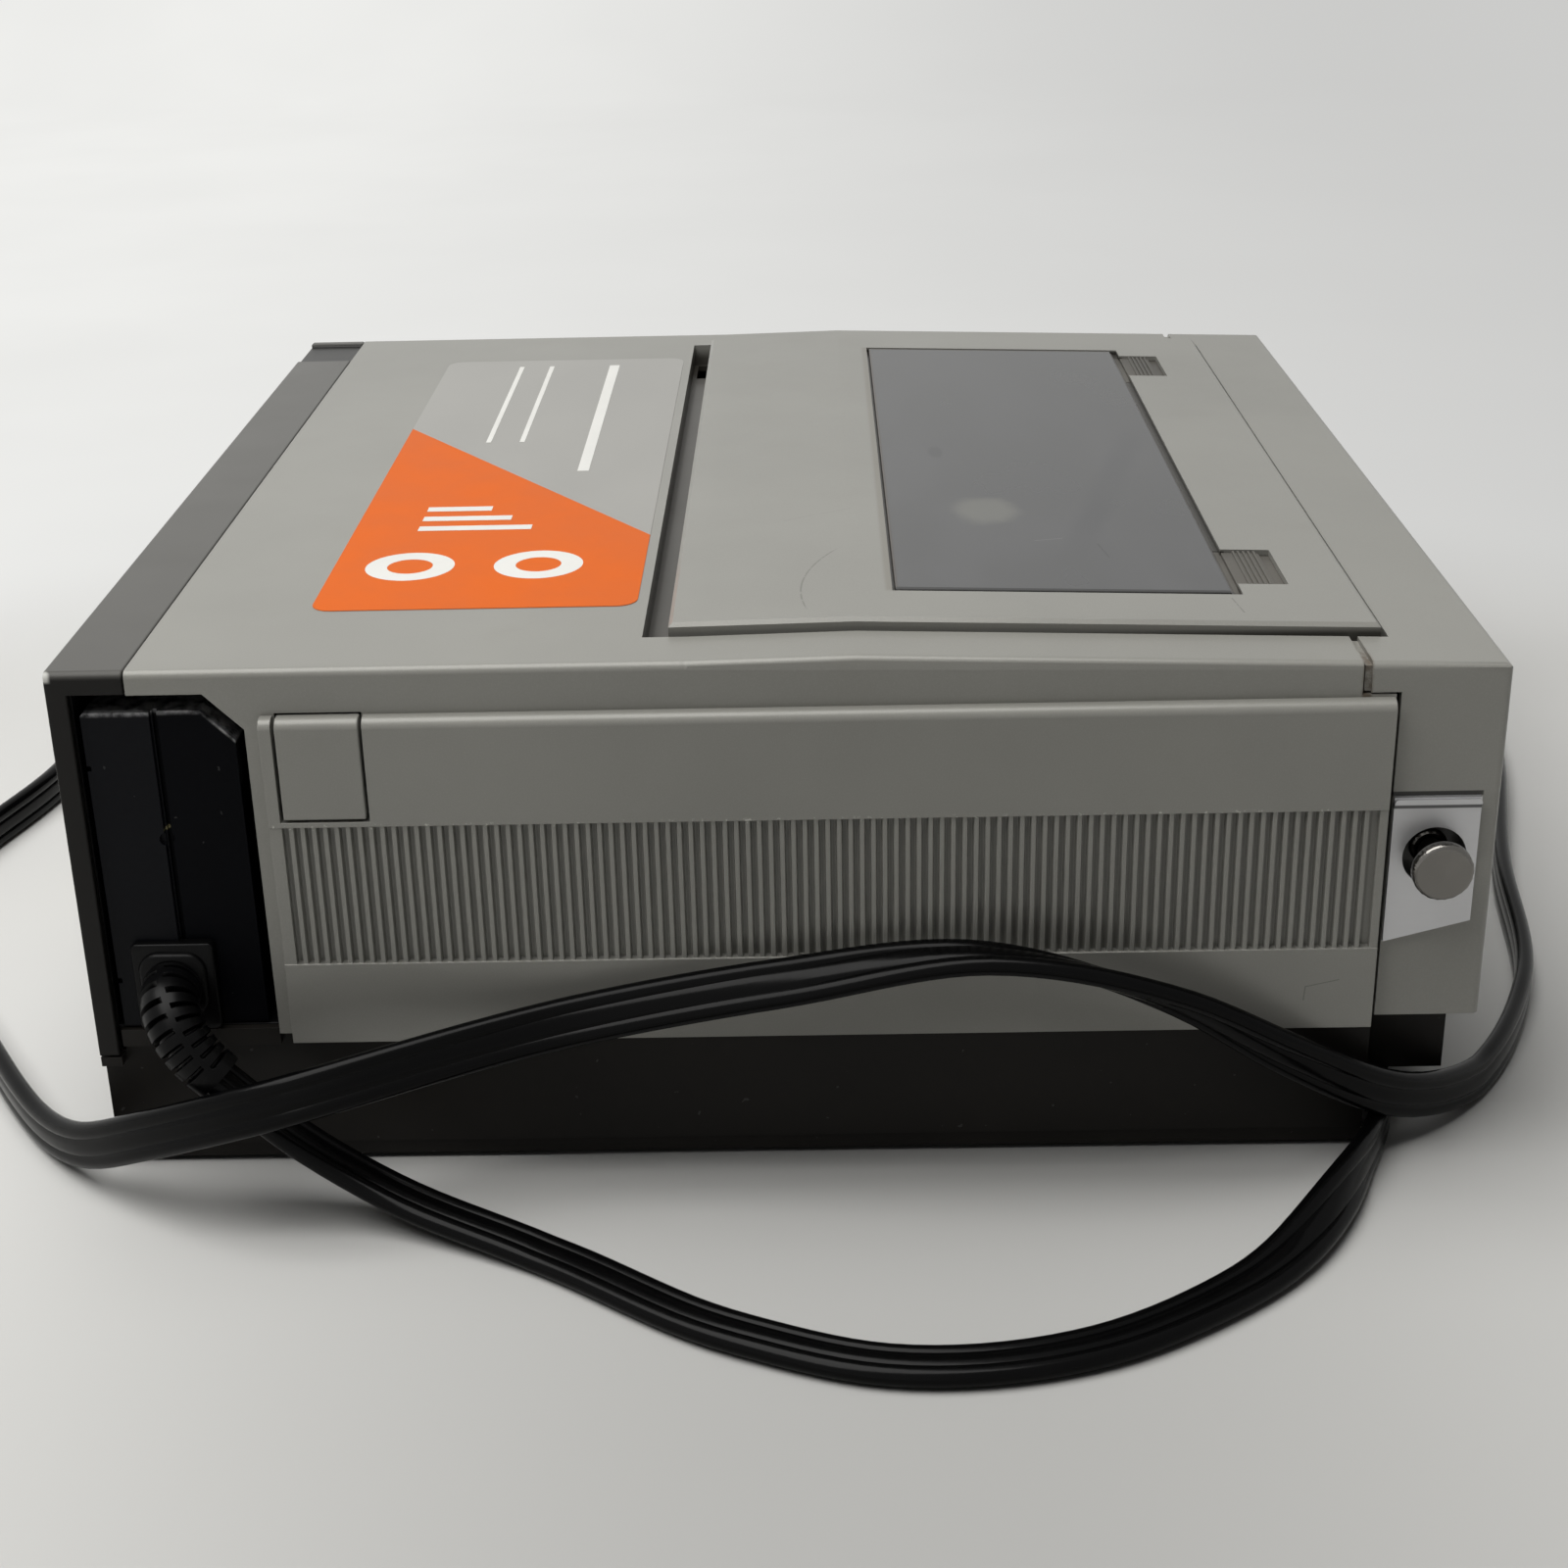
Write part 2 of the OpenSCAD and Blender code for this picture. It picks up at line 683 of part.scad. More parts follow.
module mains_plug() {
    color(black)
        on_plug() {
            rotate([0, 90, 0])
                cylinder(h = 18, r1 = 6.4, r2 = 9);
            translate([18, 0, 0])
                rotate([90, 0, 90])
                    linear_extrude(20)
                        round_rect(26, 22, 6);
        }
}

module plug_pins() {
    color(brass)
        on_plug() {
            for (side = [-1, 1])
                translate([38, side * 6.35 - 0.75, 1])
                    cube([16, 1.5, 6.3]);
            translate([38, 0, -5])
                rotate([0, 90, 0])
                    cylinder(h = 19, r = 2.4);
        }
}

// Height of the lid's top
function lid_z(s) = top_z(s) + lid_proud;

// The lid seen from the side
lid_outline = [
    [lid_s[0], lid_z(lid_s[0]) - lid_skirt], [lid_s[0], lid_z(lid_s[0]) - 0.8],
    [lid_s[0] + 0.8, lid_z(lid_s[0])], [ridge_s, lid_z(ridge_s)],
    [lid_s[1] - 0.8, lid_z(lid_s[1])], [lid_s[1], lid_z(lid_s[1]) - 0.8],
    [lid_s[1], lid_z(lid_s[1]) - lid_skirt]];

// Frame on the sloping front part of the lid, with y along the slope from the ridge
module on_lid() {
    translate([0, from_rear(ridge_s), lid_z(ridge_s)])
        rotate([atan2(ridge_h - front_h, body_d - ridge_s), 0, 0])
            children();
}

// Box on the lid's slope between pairs of x and s, from a depth below the surface upwards
module lid_block(x, s, z) {
    on_lid()
        translate([x[0], ridge_s - s[1], z[0]])
            cube([x[1] - x[0], s[1] - s[0], z[1] - z[0]]);
}

module cassette_lid() {
    color(silver)
        difference() {
            side_profile(lid_outline, [-lid_w / 2, lid_w / 2]);
            side_profile([[lid_s[0] + 2, 80], [lid_s[0] + 2, lid_z(lid_s[0]) - lid_t],
                [ridge_s, lid_z(ridge_s) - lid_t], [lid_s[1] - 2, lid_z(lid_s[1]) - lid_t],
                [lid_s[1] - 2, 80]], [-lid_w / 2 + 2, lid_w / 2 - 2]);
            lid_block([-window_w / 2 - 1, window_w / 2 + 1],
                [window_s[0] - 0.6, window_s[1] + 1.3], [-1.3, 2]);
            lid_block([-window_w / 2 + 3, window_w / 2 - 3],
                [window_s[0] + 3, window_s[1] - 3], [-9, 2]);
            for (side = [-1, 1]) {
                lid_block([side * catch_x - 10.8, side * catch_x + 10.8], catch_s, [-9, 2]);
                lid_block([side * catch_x - 13.5, side * catch_x + 13.5], [218.6, 238.6], [-9, -1.2]);
                lid_side_bevel(side);
            }
        }
    color(silver)
        for (x = [-106, 106], s = [140, 232])
            post([x, s], [pivot_z + 1.9, lid_z(s) - 1.5], 3);
}

// Bevels the lid's long side edge in front of the ridge and behind it
module lid_side_bevel(side) {
    mirror([side > 0 ? 1 : 0, 0, 0])
        for (part = [[lid_s[0] - 1, ridge_s], [ridge_s, lid_s[1] + 1]])
            translate([-lid_w / 2, from_rear(part[0]), lid_z(part[0])])
                rotate([-atan2(lid_z(part[1]) - lid_z(part[0]), part[1] - part[0]), 0, 0])
                    rotate([0, -45, 0])
                        translate([-3, -(part[1] - part[0]) - 1, -0.55])
                            cube([6, part[1] - part[0] + 2, 4]);
}

module lid_window() {
    color([0.3, 0.33, 0.37, 0.8])
        difference() {
            lid_block([-window_w / 2, window_w / 2], window_s, [-1.3, -0.1]);
            lid_block([-window_w, window_w], [window_s[1] - 0.6, window_s[1] + 1], [-0.6, 1]);
        }
}

// Sliding catch of the window: a plate under the lid's skin with ribs for a fingertip
module window_catch(side) {
    color([0.33, 0.31, 0.28]) {
        lid_block([side * catch_x - 13, side * catch_x + 13], [219, 234], [-2.4, -1.3]);
        lid_block([side * catch_x - 10.3, side * catch_x + 10.3], [221.5, 229], [-1.4, -0.55]);
        for (i = [0:4])
            lid_block([side * catch_x - 10.3, side * catch_x + 10.3],
                [223.6 + i * 1.03, 224.1 + i * 1.03], [-0.6, -0.1]);
    }
}

module cassette_holder() {
    wall = [96, 97.2];
    color(steel)
        difference() {
            block([-wall[1], wall[1]], [131, 238], [99.2, 100.3]);
            block([-84, 84], [148, 228], [90, 110]);
        }
    color(steel)
        for (side = [-1, 1])
            mirror([side > 0 ? 1 : 0, 0, 0])
                difference() {
                    union() {
                        block([-wall[1], -wall[0]], [131, 238], [73, 100.3]);
                        block([-wall[1], -84], [131, 238], [73, 74.1]);
                        block([-wall[1], -wall[0]], [pivot_s, 132], [93, 100.3]);
                        bar([-wall[1], -wall[0]], [pivot_s, pivot_z], 4.6);
                        block([-wall[1], -88], [131, 132.1], [73, 100.3]);
                        for (s = [140, 232])
                            block([-109, -wall[0]], [s - 4, s + 4], [99.2, 100.3]);
                    }
                    bar([-wall[1] - 1, -wall[0] + 1], [pivot_s, pivot_z], pin_r + 0.05);
                    block([-wall[1] - 1, -wall[0] + 1], [160, 215], [80, 93]);
                }
}

module holder_shaft() {
    color(steel)
        difference() {
            bar([-107, 107], [pivot_s, pivot_z], pin_r);
            for (x = [-106.4, 105.9])
                difference() {
                    bar([x, x + 0.5], [pivot_s, pivot_z], 3);
                    bar([x - 1, x + 1], [pivot_s, pivot_z], 1.6);
                }
        }
}

module hinge_brackets() {
    color(steel)
        for (side = [-1, 1])
            mirror([side > 0 ? 1 : 0, 0, 0])
                difference() {
                    union() {
                        side_profile([[106, chassis_z[1]], [127, chassis_z[1]], [120.5, pivot_z],
                            [112.5, pivot_z]], [-105.5, -103.5]);
                        bar([-105.5, -103.5], [pivot_s, pivot_z], 4);
                        block([-114, -103.5], [106, 127], [chassis_z[1], chassis_z[1] + 1.6]);
                    }
                    bar([-108, -100], [pivot_s, pivot_z], pin_r);
                    bar([-108, -100], [pivot_s, 64], 4);
                }
}

module chassis_plate() {
    color([0.6, 0.6, 0.58])
        difference() {
            union() {
                block([-118, 118], [42, 240], chassis_z);
                for (x = [-118, 116.8])
                    block([x, x + 1.2], [42, 100], [chassis_z[0], 54]);
            }
            post([0, drum_s], [40, 50], 12);
            post(capstan, [40, 50], 3);
            for (side = [-1, 1])
                post([side * reel_x, reel_s], [40, 50], 2);
            for (at = screw_places)
                post(at, [40, 50], 1.7);
            guide_slots();
            block([-30, 30], [206, 230], [40, 50]);
            post([-92, 190], [40, 50], 9);
            post([92, 190], [40, 50], 9);
            post([0, 196], [40, 50], 2.45);
        }
    color(steel)
        for (side = [-1, 1])
            post([side * reel_x, reel_s], [chassis_z[0], 84], 2);
}

guide_from = [31, 124];
guide_to = [45, 74];
guide_slide = guide_to - guide_from;

// Slots in the chassis plate that the loading guides run along
module guide_slots() {
    reach = norm(guide_slide);
    for (side = [-1, 1])
        mirror([side < 0 ? 1 : 0, 0, 0])
            translate([guide_from[0], from_rear(guide_from[1]), 40])
                rotate([0, 0, -atan2(guide_slide[0], -guide_slide[1])]) {
                    for (end = [0, reach])
                        translate([0, end, 0])
                            cylinder(h = 10, r = 2.2);
                    translate([-2.2, 0, 0])
                        cube([4.4, reach, 10]);
                }
}

// Roller guide that draws the tape round the drum, on its sliding block
module loading_guide(side) {
    color(steel)
        mirror([side < 0 ? 1 : 0, 0, 0]) {
            block([guide_from[0] - 6, guide_from[0] + 6], [guide_from[1] - 5, guide_from[1] + 5],
                [chassis_z[1] + 0.1, chassis_z[1] + 5]);
            post(guide_from, [chassis_z[0] - 3, chassis_z[1] + 1], 1.9);
            post(guide_from, [chassis_z[0] - 3.6, chassis_z[0] - 0.4], 3.4);
            post(guide_from, [chassis_z[1] + 4, 86], 1.5);
            post(guide_from, [60, 82], 3);
            post(guide_from, [58, 60], 4);
            post(guide_from, [82, 84], 4);
        }
}

module main_circuit_board() {
    color([0.1, 0.3, 0.16]) {
        difference() {
            block([-100, 100], [70, 236], [14, 15.6]);
            block([board_notch[0], 101], [69, board_notch[1]], [13, 17]);
        }
        for (x = [-84, -52, -20, 12, 44], s = [96, 150, 204])
            block([x, x + 18], [s, s + 8], [15.5, 19]);
        for (x = [-92, -60, -28, 4, 36, 68])
            post([x, 126], [15.5, 26], 4);
        for (at = [[-96, 74], [74, 74], [-96, 228], [96, 228]])
            post(at, [base_low + shell, 14.1], 2);
    }
}

module drum_frame() {
    translate([0, from_rear(drum_s), chassis_z[1]])
        rotate([drum_tilt, 0, 0])
            children();
}

module lower_drum() {
    color([0.75, 0.75, 0.74]) {
        drum_frame()
            rotate_extrude()
                polygon([[3.05, 3], [drum_r - 4, 3], [drum_r - 4, 5.5], [drum_r, 6.5], [drum_r, 20],
                    [drum_r - 6, 20], [drum_r - 6, 18], [8, 18], [8, 20], [3.05, 20]]);
        difference() {
            block([-26, 26], [drum_s - 26, drum_s + 26], [chassis_z[1], chassis_z[1] + 7]);
            drum_frame()
                translate([0, 0, 3])
                    cylinder(h = 20, r = drum_r + 12);
            drum_frame()
                translate([0, 0, -9])
                    cylinder(h = 20, r = 12);
        }
    }
}

module upper_drum() {
    color([0.8, 0.8, 0.79])
        drum_frame()
            difference() {
                union() {
                    translate([0, 0, 20.4])
                        rotate_extrude()
                            polygon([[0, 0], [drum_r, 0], [drum_r, 15.4], [drum_r - 0.8, 16.2],
                                [drum_r - 7, 16.2], [drum_r - 8, 12], [11, 12], [10, 16.2],
                                [0, 16.2]]);
                    translate([0, 0, 3.4])
                        cylinder(h = 18, r = 3);
                }
                for (a = [0:90:270])
                    rotate([0, 0, a])
                        translate([drum_r - 2, -1.6, 19])
                            cube([4, 3.2, 2.4]);
                for (a = [45:90:315])
                    rotate([0, 0, a])
                        translate([16, 0, 30])
                            cylinder(h = 10, r = 1.8);
            }
}

module capstan_flywheel() {
    color(steel) {
        translate([capstan[0], from_rear(capstan[1]), 30])
            rotate_extrude()
                polygon([[0, 0], [flywheel_r, 0], [flywheel_r, 2], [flywheel_r, 7],
                    [flywheel_r - 6, 7], [flywheel_r - 7, 4], [7, 4], [6, 9], [0, 9]]);
        post(capstan, [26, 90], 1.5);
    }
}

module capstan_motor() {
    color([0.5, 0.5, 0.5])
        difference() {
            union() {
                post(motor, [6.6, 27], 15);
                post(motor, [27, 28.5], 5);
                block([motor[0] - 17, motor[0] + 17], [motor[1] - 4, motor[1] + 4],
                    [base_low + shell, 7]);
            }
            post(motor, [26, 30], 1.55);
        }
}

module capstan_pulley() {
    color(brass) {
        translate([motor[0], from_rear(motor[1]), 29])
            rotate_extrude()
                polygon([[0, 0], [pulley_r + 1, 0], [pulley_r + 1, 1], [pulley_r, 1.6],
                    [pulley_r, 6.4], [pulley_r + 1, 7], [pulley_r + 1, 8], [0, 8]]);
        post(motor, [26.2, 30], 1.5);
    }
}

// Flat belt round the flywheel and the motor's pulley
module capstan_belt() {
    color(black)
        translate([0, 0, 31.3])
            linear_extrude(3.8)
                difference() {
                    belt_loop(1.3);
                    belt_loop(0.3);
                }
}

module belt_loop(t) {
    hull() {
        translate([capstan[0], from_rear(capstan[1])])
            circle(flywheel_r + t, $fn = 64);
        translate([motor[0], from_rear(motor[1])])
            circle(pulley_r + t, $fn = 32);
    }
}

// Reel table with its brake drum and the three-winged spindle that enters a cassette's hub
module reel_table(x) {
    color([0.16, 0.16, 0.17])
        translate([x, from_rear(reel_s), 0]) {
            difference() {
                union() {
                    translate([0, 0, 47])
                        rotate_extrude()
                            polygon([[0, 0], [20, 0], [20, 5], [18, 6], [18, 9], [20.5, 9.6],
                                [20.5, 11], [14, 12], [9, 13], [9, 24], [5, 24.6], [0, 24.6]]);
                    translate([0, 0, 70])
                        cylinder(h = 17, r = 4.6);
                    for (a = [0:120:240])
                        rotate([0, 0, a])
                            translate([0, -1, 70])
                                cube([8.2, 2, 12]);
                }
                translate([0, 0, 40])
                    cylinder(h = 45, r = 2.05);
            }
        }
}

module reel_idler() {
    color(black)
        translate([0, from_rear(196), 0])
            difference() {
                union() {
                    translate([0, 0, 48])
                        cylinder(h = 4, r = 22);
                    translate([0, 0, 52])
                        cylinder(h = 4, r = 8);
                    translate([0, 0, 40])
                        cylinder(h = 9, r = 2.4);
                }
                for (a = [0:60:300])
                    rotate([0, 0, a])
                        translate([13, 0, 47])
                            cylinder(h = 6, r = 4);
            }
}

module pinch_arm() {
    color(steel)
        difference() {
            union() {
                post(pinch_pivot, [chassis_z[1] + 0.1, 62], 5);
                post(pinch_wheel, [47, 49], 4.5);
                flat_link(pinch_pivot, pinch_wheel, [47, 49], 7);
                post(pinch_wheel, [48, 80], 1.5);
            }
            post(pinch_pivot, [40, 63], 2.05);
        }
}

// Flat link between two places
module flat_link(a, b, z, width) {
    run = b - a;
    translate([a[0], from_rear(a[1]), z[0]])
        rotate([0, 0, atan2(-run[1], run[0])])
            translate([0, -width / 2, 0])
                cube([norm(run), width, z[1] - z[0]]);
}

module pinch_roller() {
    color(black)
        translate([pinch_wheel[0], from_rear(pinch_wheel[1]), 56])
            difference() {
                cylinder(h = 20, r = 6.5);
                translate([0, 0, -1])
                    cylinder(h = 22, r = 1.55);
            }
}

// Erase head on the supply side, sound and control head on the take-up side
module tape_heads() {
    color([0.7, 0.7, 0.68])
        for (side = [-1, 1])
            mirror([side < 0 ? 1 : 0, 0, 0]) {
                block([52, 64], [94, 104], [chassis_z[1], chassis_z[1] + 3]);
                block([55, 61], [96, 102], [chassis_z[1] + 2, 62]);
                difference() {
                    post([57, 99], [61, 80], 6);
                    block([57, 66], [90, 110], [60, 81]);
                }
            }
}

module guide_posts() {
    color(steel)
        for (at = [[-78, 120], [-64, 108], [50, 110]]) {
            post(at, [chassis_z[1], chassis_z[1] + 6], 4);
            post(at, [chassis_z[1] + 5, 84], 1.8);
            post(at, [60, 61.5], 3.6);
            post(at, [79, 80.5], 3.6);
        }
    color(steel)
        post(pinch_pivot, [chassis_z[1], 58], 2);
}

jack_places = [[76, 50], [76, 64], [90, 50], [90, 64]];

// Recessed panel with the signal sockets
module connector_panel() {
    color(black)
        difference() {
            block([66.2, 125.8], [0.4, 10], [40.2, 91.8]);
            block([67.6, 124.4], [-1, 8.4], [41.6, 90.4]);
            for (at = jack_places)
                depth_bar(at, [0, 11], 4.15);
        }
    color(black)
        difference() {
            depth_bar([109, 58], [1.4, 8.5], 10.5);
            depth_bar([109, 58], [0, 7], 8.5);
        }
    color(black)
        depth_bar([109, 58], [2.4, 8], 6.5);
    color(black)
        block([72, 120], [4.4, 8.5], [76, 86]);
}

module phono_jacks() {
    color(steel)
        for (at = jack_places)
            difference() {
                union() {
                    depth_bar(at, [1, 10.1], 4.15);
                    depth_bar(at, [10, 14], 5.4);
                }
                depth_bar(at, [0, 9], 1.6);
            }
}

module display_window() {
    color([0.12, 0.1, 0.1])
        block([-107.8, -68.2], [body_d - 3, body_d - 0.4], [64.2, 83.8]);
    color([0.12, 0.1, 0.1])
        block([-110, -66], [body_d - 4.4, body_d - 3], [62, 86]);
}

module tracking_knob() {
    color(silver_key)
        difference() {
            union() {
                depth_bar([knob_x, knob_z], [body_d - 12, body_d - 5], 3);
                depth_bar([knob_x, knob_z], [body_d - 5.2, body_d - 3.2], knob_r + 1.5);
                depth_bar([knob_x, knob_z], [body_d - 3.4, body_d], knob_r);
            }
            block([knob_x - 1, knob_x + 1], [body_d - 1.4, body_d + 1], [knob_z - 5, knob_z + 5]);
            for (a = [0:20:340])
                depth_bar([knob_x + knob_r * cos(a), knob_z + knob_r * sin(a)],
                    [body_d - 0.8, body_d + 1], 0.5);
        }
}

function key_at(i) = key_first + i * key_pitch;

module key_hole(i, gap, s) {
    x = key_at(i);
    block([x - key_size[0] / 2 - gap, x + key_size[0] / 2 + gap], s,
        [key_z - key_size[1] / 2 - gap, key_z + key_size[1] / 2 + gap]);
}

// Transport key: a cap in its opening, with a flange behind the front wall
module transport_key(i) {
    x = key_at(i);
    color(i == 6 ? [0.75, 0.2, 0.12] : silver_key)
        difference() {
            union() {
                key_hole(i, 0, [body_d - 3.6, body_d]);
                key_hole(i, 0.8, [body_d - 4.6, body_d - 3.1]);
                block([x - 2, x + 2], [body_d - 8, body_d - 4.5], [key_z - 2, key_z + 2]);
            }
            translate([x, from_rear(body_d + 9.2), key_z])
                rotate([0, 90, 0])
                    cylinder(h = 30, r = 10, center = true);
        }
}

base_tray();
top_cover();
front_frame();
rear_frame();
color(silver) side_panel(-1, true);  // left_side_panel
color(silver) side_panel(1, false);  // right_side_panel
strap_plate(-1);  // left_strap_plate
strap_stud(-1);  // left_strap_stud
strap_plate(1);  // right_strap_plate
strap_stud(1);  // right_strap_stud
rubber_feet();
case_screws();
battery_bay();
battery_contacts();
battery_latch();
battery_eject_button();
adaptor_rear_half();
adaptor_front_half();
strain_relief();
power_cord();
mains_plug();
plug_pins();
cassette_lid();
lid_window();
window_catch(-1);  // left_window_catch
window_catch(1);  // right_window_catch
cassette_holder();
holder_shaft();
hinge_brackets();
chassis_plate();
main_circuit_board();
lower_drum();
upper_drum();
capstan_flywheel();
capstan_motor();
capstan_pulley();
capstan_belt();
reel_table(-reel_x);  // supply_reel_table
reel_table(reel_x);  // takeup_reel_table
reel_idler();
pinch_arm();
pinch_roller();
loading_guide(-1);  // supply_guide
loading_guide(1);  // takeup_guide
tape_heads();
guide_posts();
connector_panel();
phono_jacks();
display_window();
tracking_knob();
transport_key(0);  // power_key
transport_key(1);  // eject_key
transport_key(2);  // rewind_key
transport_key(3);  // stop_key
transport_key(4);  // play_key
transport_key(5);  // forward_key
transport_key(6);  // record_key
transport_key(7);  // pause_key
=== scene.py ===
"""A portable top-loading video recorder on a pale table, with its flat mains lead.

Metres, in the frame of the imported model: X to the machine's right, the front faces -Y, Z up.
"""

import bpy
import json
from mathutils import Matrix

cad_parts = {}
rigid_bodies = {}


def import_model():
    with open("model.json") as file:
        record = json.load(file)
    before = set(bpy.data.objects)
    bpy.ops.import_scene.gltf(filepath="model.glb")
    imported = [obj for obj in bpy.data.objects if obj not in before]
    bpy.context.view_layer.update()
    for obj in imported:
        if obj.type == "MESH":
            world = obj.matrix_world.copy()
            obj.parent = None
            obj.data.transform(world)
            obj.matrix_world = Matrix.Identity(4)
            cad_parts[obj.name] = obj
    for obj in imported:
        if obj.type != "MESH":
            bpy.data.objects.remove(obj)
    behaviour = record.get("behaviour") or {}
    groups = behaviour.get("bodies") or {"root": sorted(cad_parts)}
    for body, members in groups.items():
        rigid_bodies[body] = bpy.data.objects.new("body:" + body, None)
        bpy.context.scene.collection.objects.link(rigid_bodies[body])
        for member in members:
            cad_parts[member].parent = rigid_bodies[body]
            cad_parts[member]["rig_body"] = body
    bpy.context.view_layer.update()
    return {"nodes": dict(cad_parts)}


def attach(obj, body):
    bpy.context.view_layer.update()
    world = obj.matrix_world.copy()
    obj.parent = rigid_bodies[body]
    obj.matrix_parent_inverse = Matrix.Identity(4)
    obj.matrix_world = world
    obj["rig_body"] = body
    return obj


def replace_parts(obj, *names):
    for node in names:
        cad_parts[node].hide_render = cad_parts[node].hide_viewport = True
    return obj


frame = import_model()

import json
import math

import bmesh
import bpy
from mathutils import Euler, Vector

MM = 0.001
nodes = frame["nodes"]
scene = bpy.context.scene
scene.view_settings.view_transform = "Standard"

# Places on the machine, in millimetres. s is the distance in front of the rear face.
CASE_W = 264
CASE_D = 265
REAR_H = 105
RIDGE_H = 105.6
FRONT_H = 102
RISE_S = 116
RIDGE_S = 147
LID_PROUD = 2.1
PANEL_OUT = 3


def row(x, s, z):
    """A place given by x, s and z, in metres in the row frame."""
    return Vector((x * MM, (CASE_D / 2 - s) * MM, z * MM))


def outside(s, out, z):
    """A place out millimetres to the left of the left wall."""
    return row(-CASE_W / 2 - out, s, z)


def top_z(s):
    """Height of the cover's top, in millimetres."""
    if s < RISE_S:
        return REAR_H
    if s < RIDGE_S:
        return REAR_H + (RIDGE_H - REAR_H) * (s - RISE_S) / (RIDGE_S - RISE_S)
    return RIDGE_H + (FRONT_H - RIDGE_H) * (s - RIDGE_S) / (CASE_D - RIDGE_S)


# Camera, at the photograph's viewing angle

def make_camera():
    data = bpy.data.cameras.new("camera")
    data.sensor_width = 36
    data.lens = 55.1
    data.clip_start = 0.01
    camera = bpy.data.objects.new("camera", data)
    scene.collection.objects.link(camera)
    camera.location = (-0.536, -0.0073, 0.2552)
    camera.rotation_euler = Euler([math.radians(a) for a in CAMERA_TURN])
    scene.camera = camera


CAMERA_TURN = (66.67, 1.195, -89.615)
make_camera()


# Shader maths

class Field:
    """A value that changes over a surface. Arithmetic on it adds the Math nodes."""

    def __init__(self, paint, socket):
        self.paint = paint
        self.socket = socket

    def math(self, operation, *others):
        values = {i: v for i, v in enumerate((self,) + others)}
        return self.paint.add("ShaderNodeMath", {"operation": operation}, values)

    def reflected(self, operation, other):
        return self.paint.add("ShaderNodeMath", {"operation": operation}, {0: other, 1: self})

    def __add__(self, other):
        return self.math("ADD", other)

    def __radd__(self, other):
        return self.math("ADD", other)

    def __sub__(self, other):
        return self.math("SUBTRACT", other)

    def __rsub__(self, other):
        return self.reflected("SUBTRACT", other)

    def __mul__(self, other):
        return self.math("MULTIPLY", other)

    def __rmul__(self, other):
        return self.math("MULTIPLY", other)

    def __truediv__(self, other):
        return self.math("DIVIDE", other)

    def __rtruediv__(self, other):
        return self.reflected("DIVIDE", other)

    def __abs__(self):
        return self.math("ABSOLUTE")

    def root(self):
        return self.math("SQRT")

    def at_most(self, other):
        return self.math("MINIMUM", other)

    def at_least(self, other):
        return self.math("MAXIMUM", other)

    def rise(self, low, high):
        """0 below low, 1 above high, smooth between. Low above high gives the fall."""
        settings = {"interpolation_type": "SMOOTHSTEP", "clamp": True}
        if low < high:
            return self.paint.add("ShaderNodeMapRange", settings, {0: self, 1: low, 2: high})
        return self.paint.add("ShaderNodeMapRange", settings,
                              {0: self, 1: high, 2: low, 3: 1.0, 4: 0.0})


class Shading:
    """The nodes of a material or of the room around the machine."""

    def __init__(self, tree):
        self.tree = tree
        tree.nodes.clear()

    def add(self, kind, settings=None, inputs=None, output=0):
        """Adds a node: its type, its settings, then the values or links of its sockets."""
        node = self.tree.nodes.new(kind)
        for name, value in (settings or {}).items():
            if name == "stops":
                ramp = node.color_ramp.elements
                while len(ramp) < len(value):
                    ramp.new(0.5)
                for stop, (at, colour) in zip(ramp, value):
                    stop.position = at
                    stop.color = (*colour, 1)
            else:
                setattr(node, name, value)
        for socket, value in (inputs or {}).items():
            if isinstance(value, Field):
                self.tree.links.new(value.socket, node.inputs[socket])
            else:
                target = node.inputs[socket]
                if target.type == "RGBA" and len(value) == 3:
                    value = (*value, 1)
                target.default_value = value
        return Field(self, node.outputs[output])

    def end(self, kind, shader):
        node = self.tree.nodes.new(kind)
        self.tree.links.new(shader.socket, node.inputs["Surface"])

    def seen(self, mirrored=1.0):
        """1 where a surface is looked at, mirrored in reflections, 0 where it only sheds light."""
        looked, glossy, through = [self.add("ShaderNodeLightPath", output=f"Is {kind} Ray")
                                   for kind in ("Camera", "Glossy", "Transmission")]
        return looked.at_least(glossy.at_least(through) * mirrored)


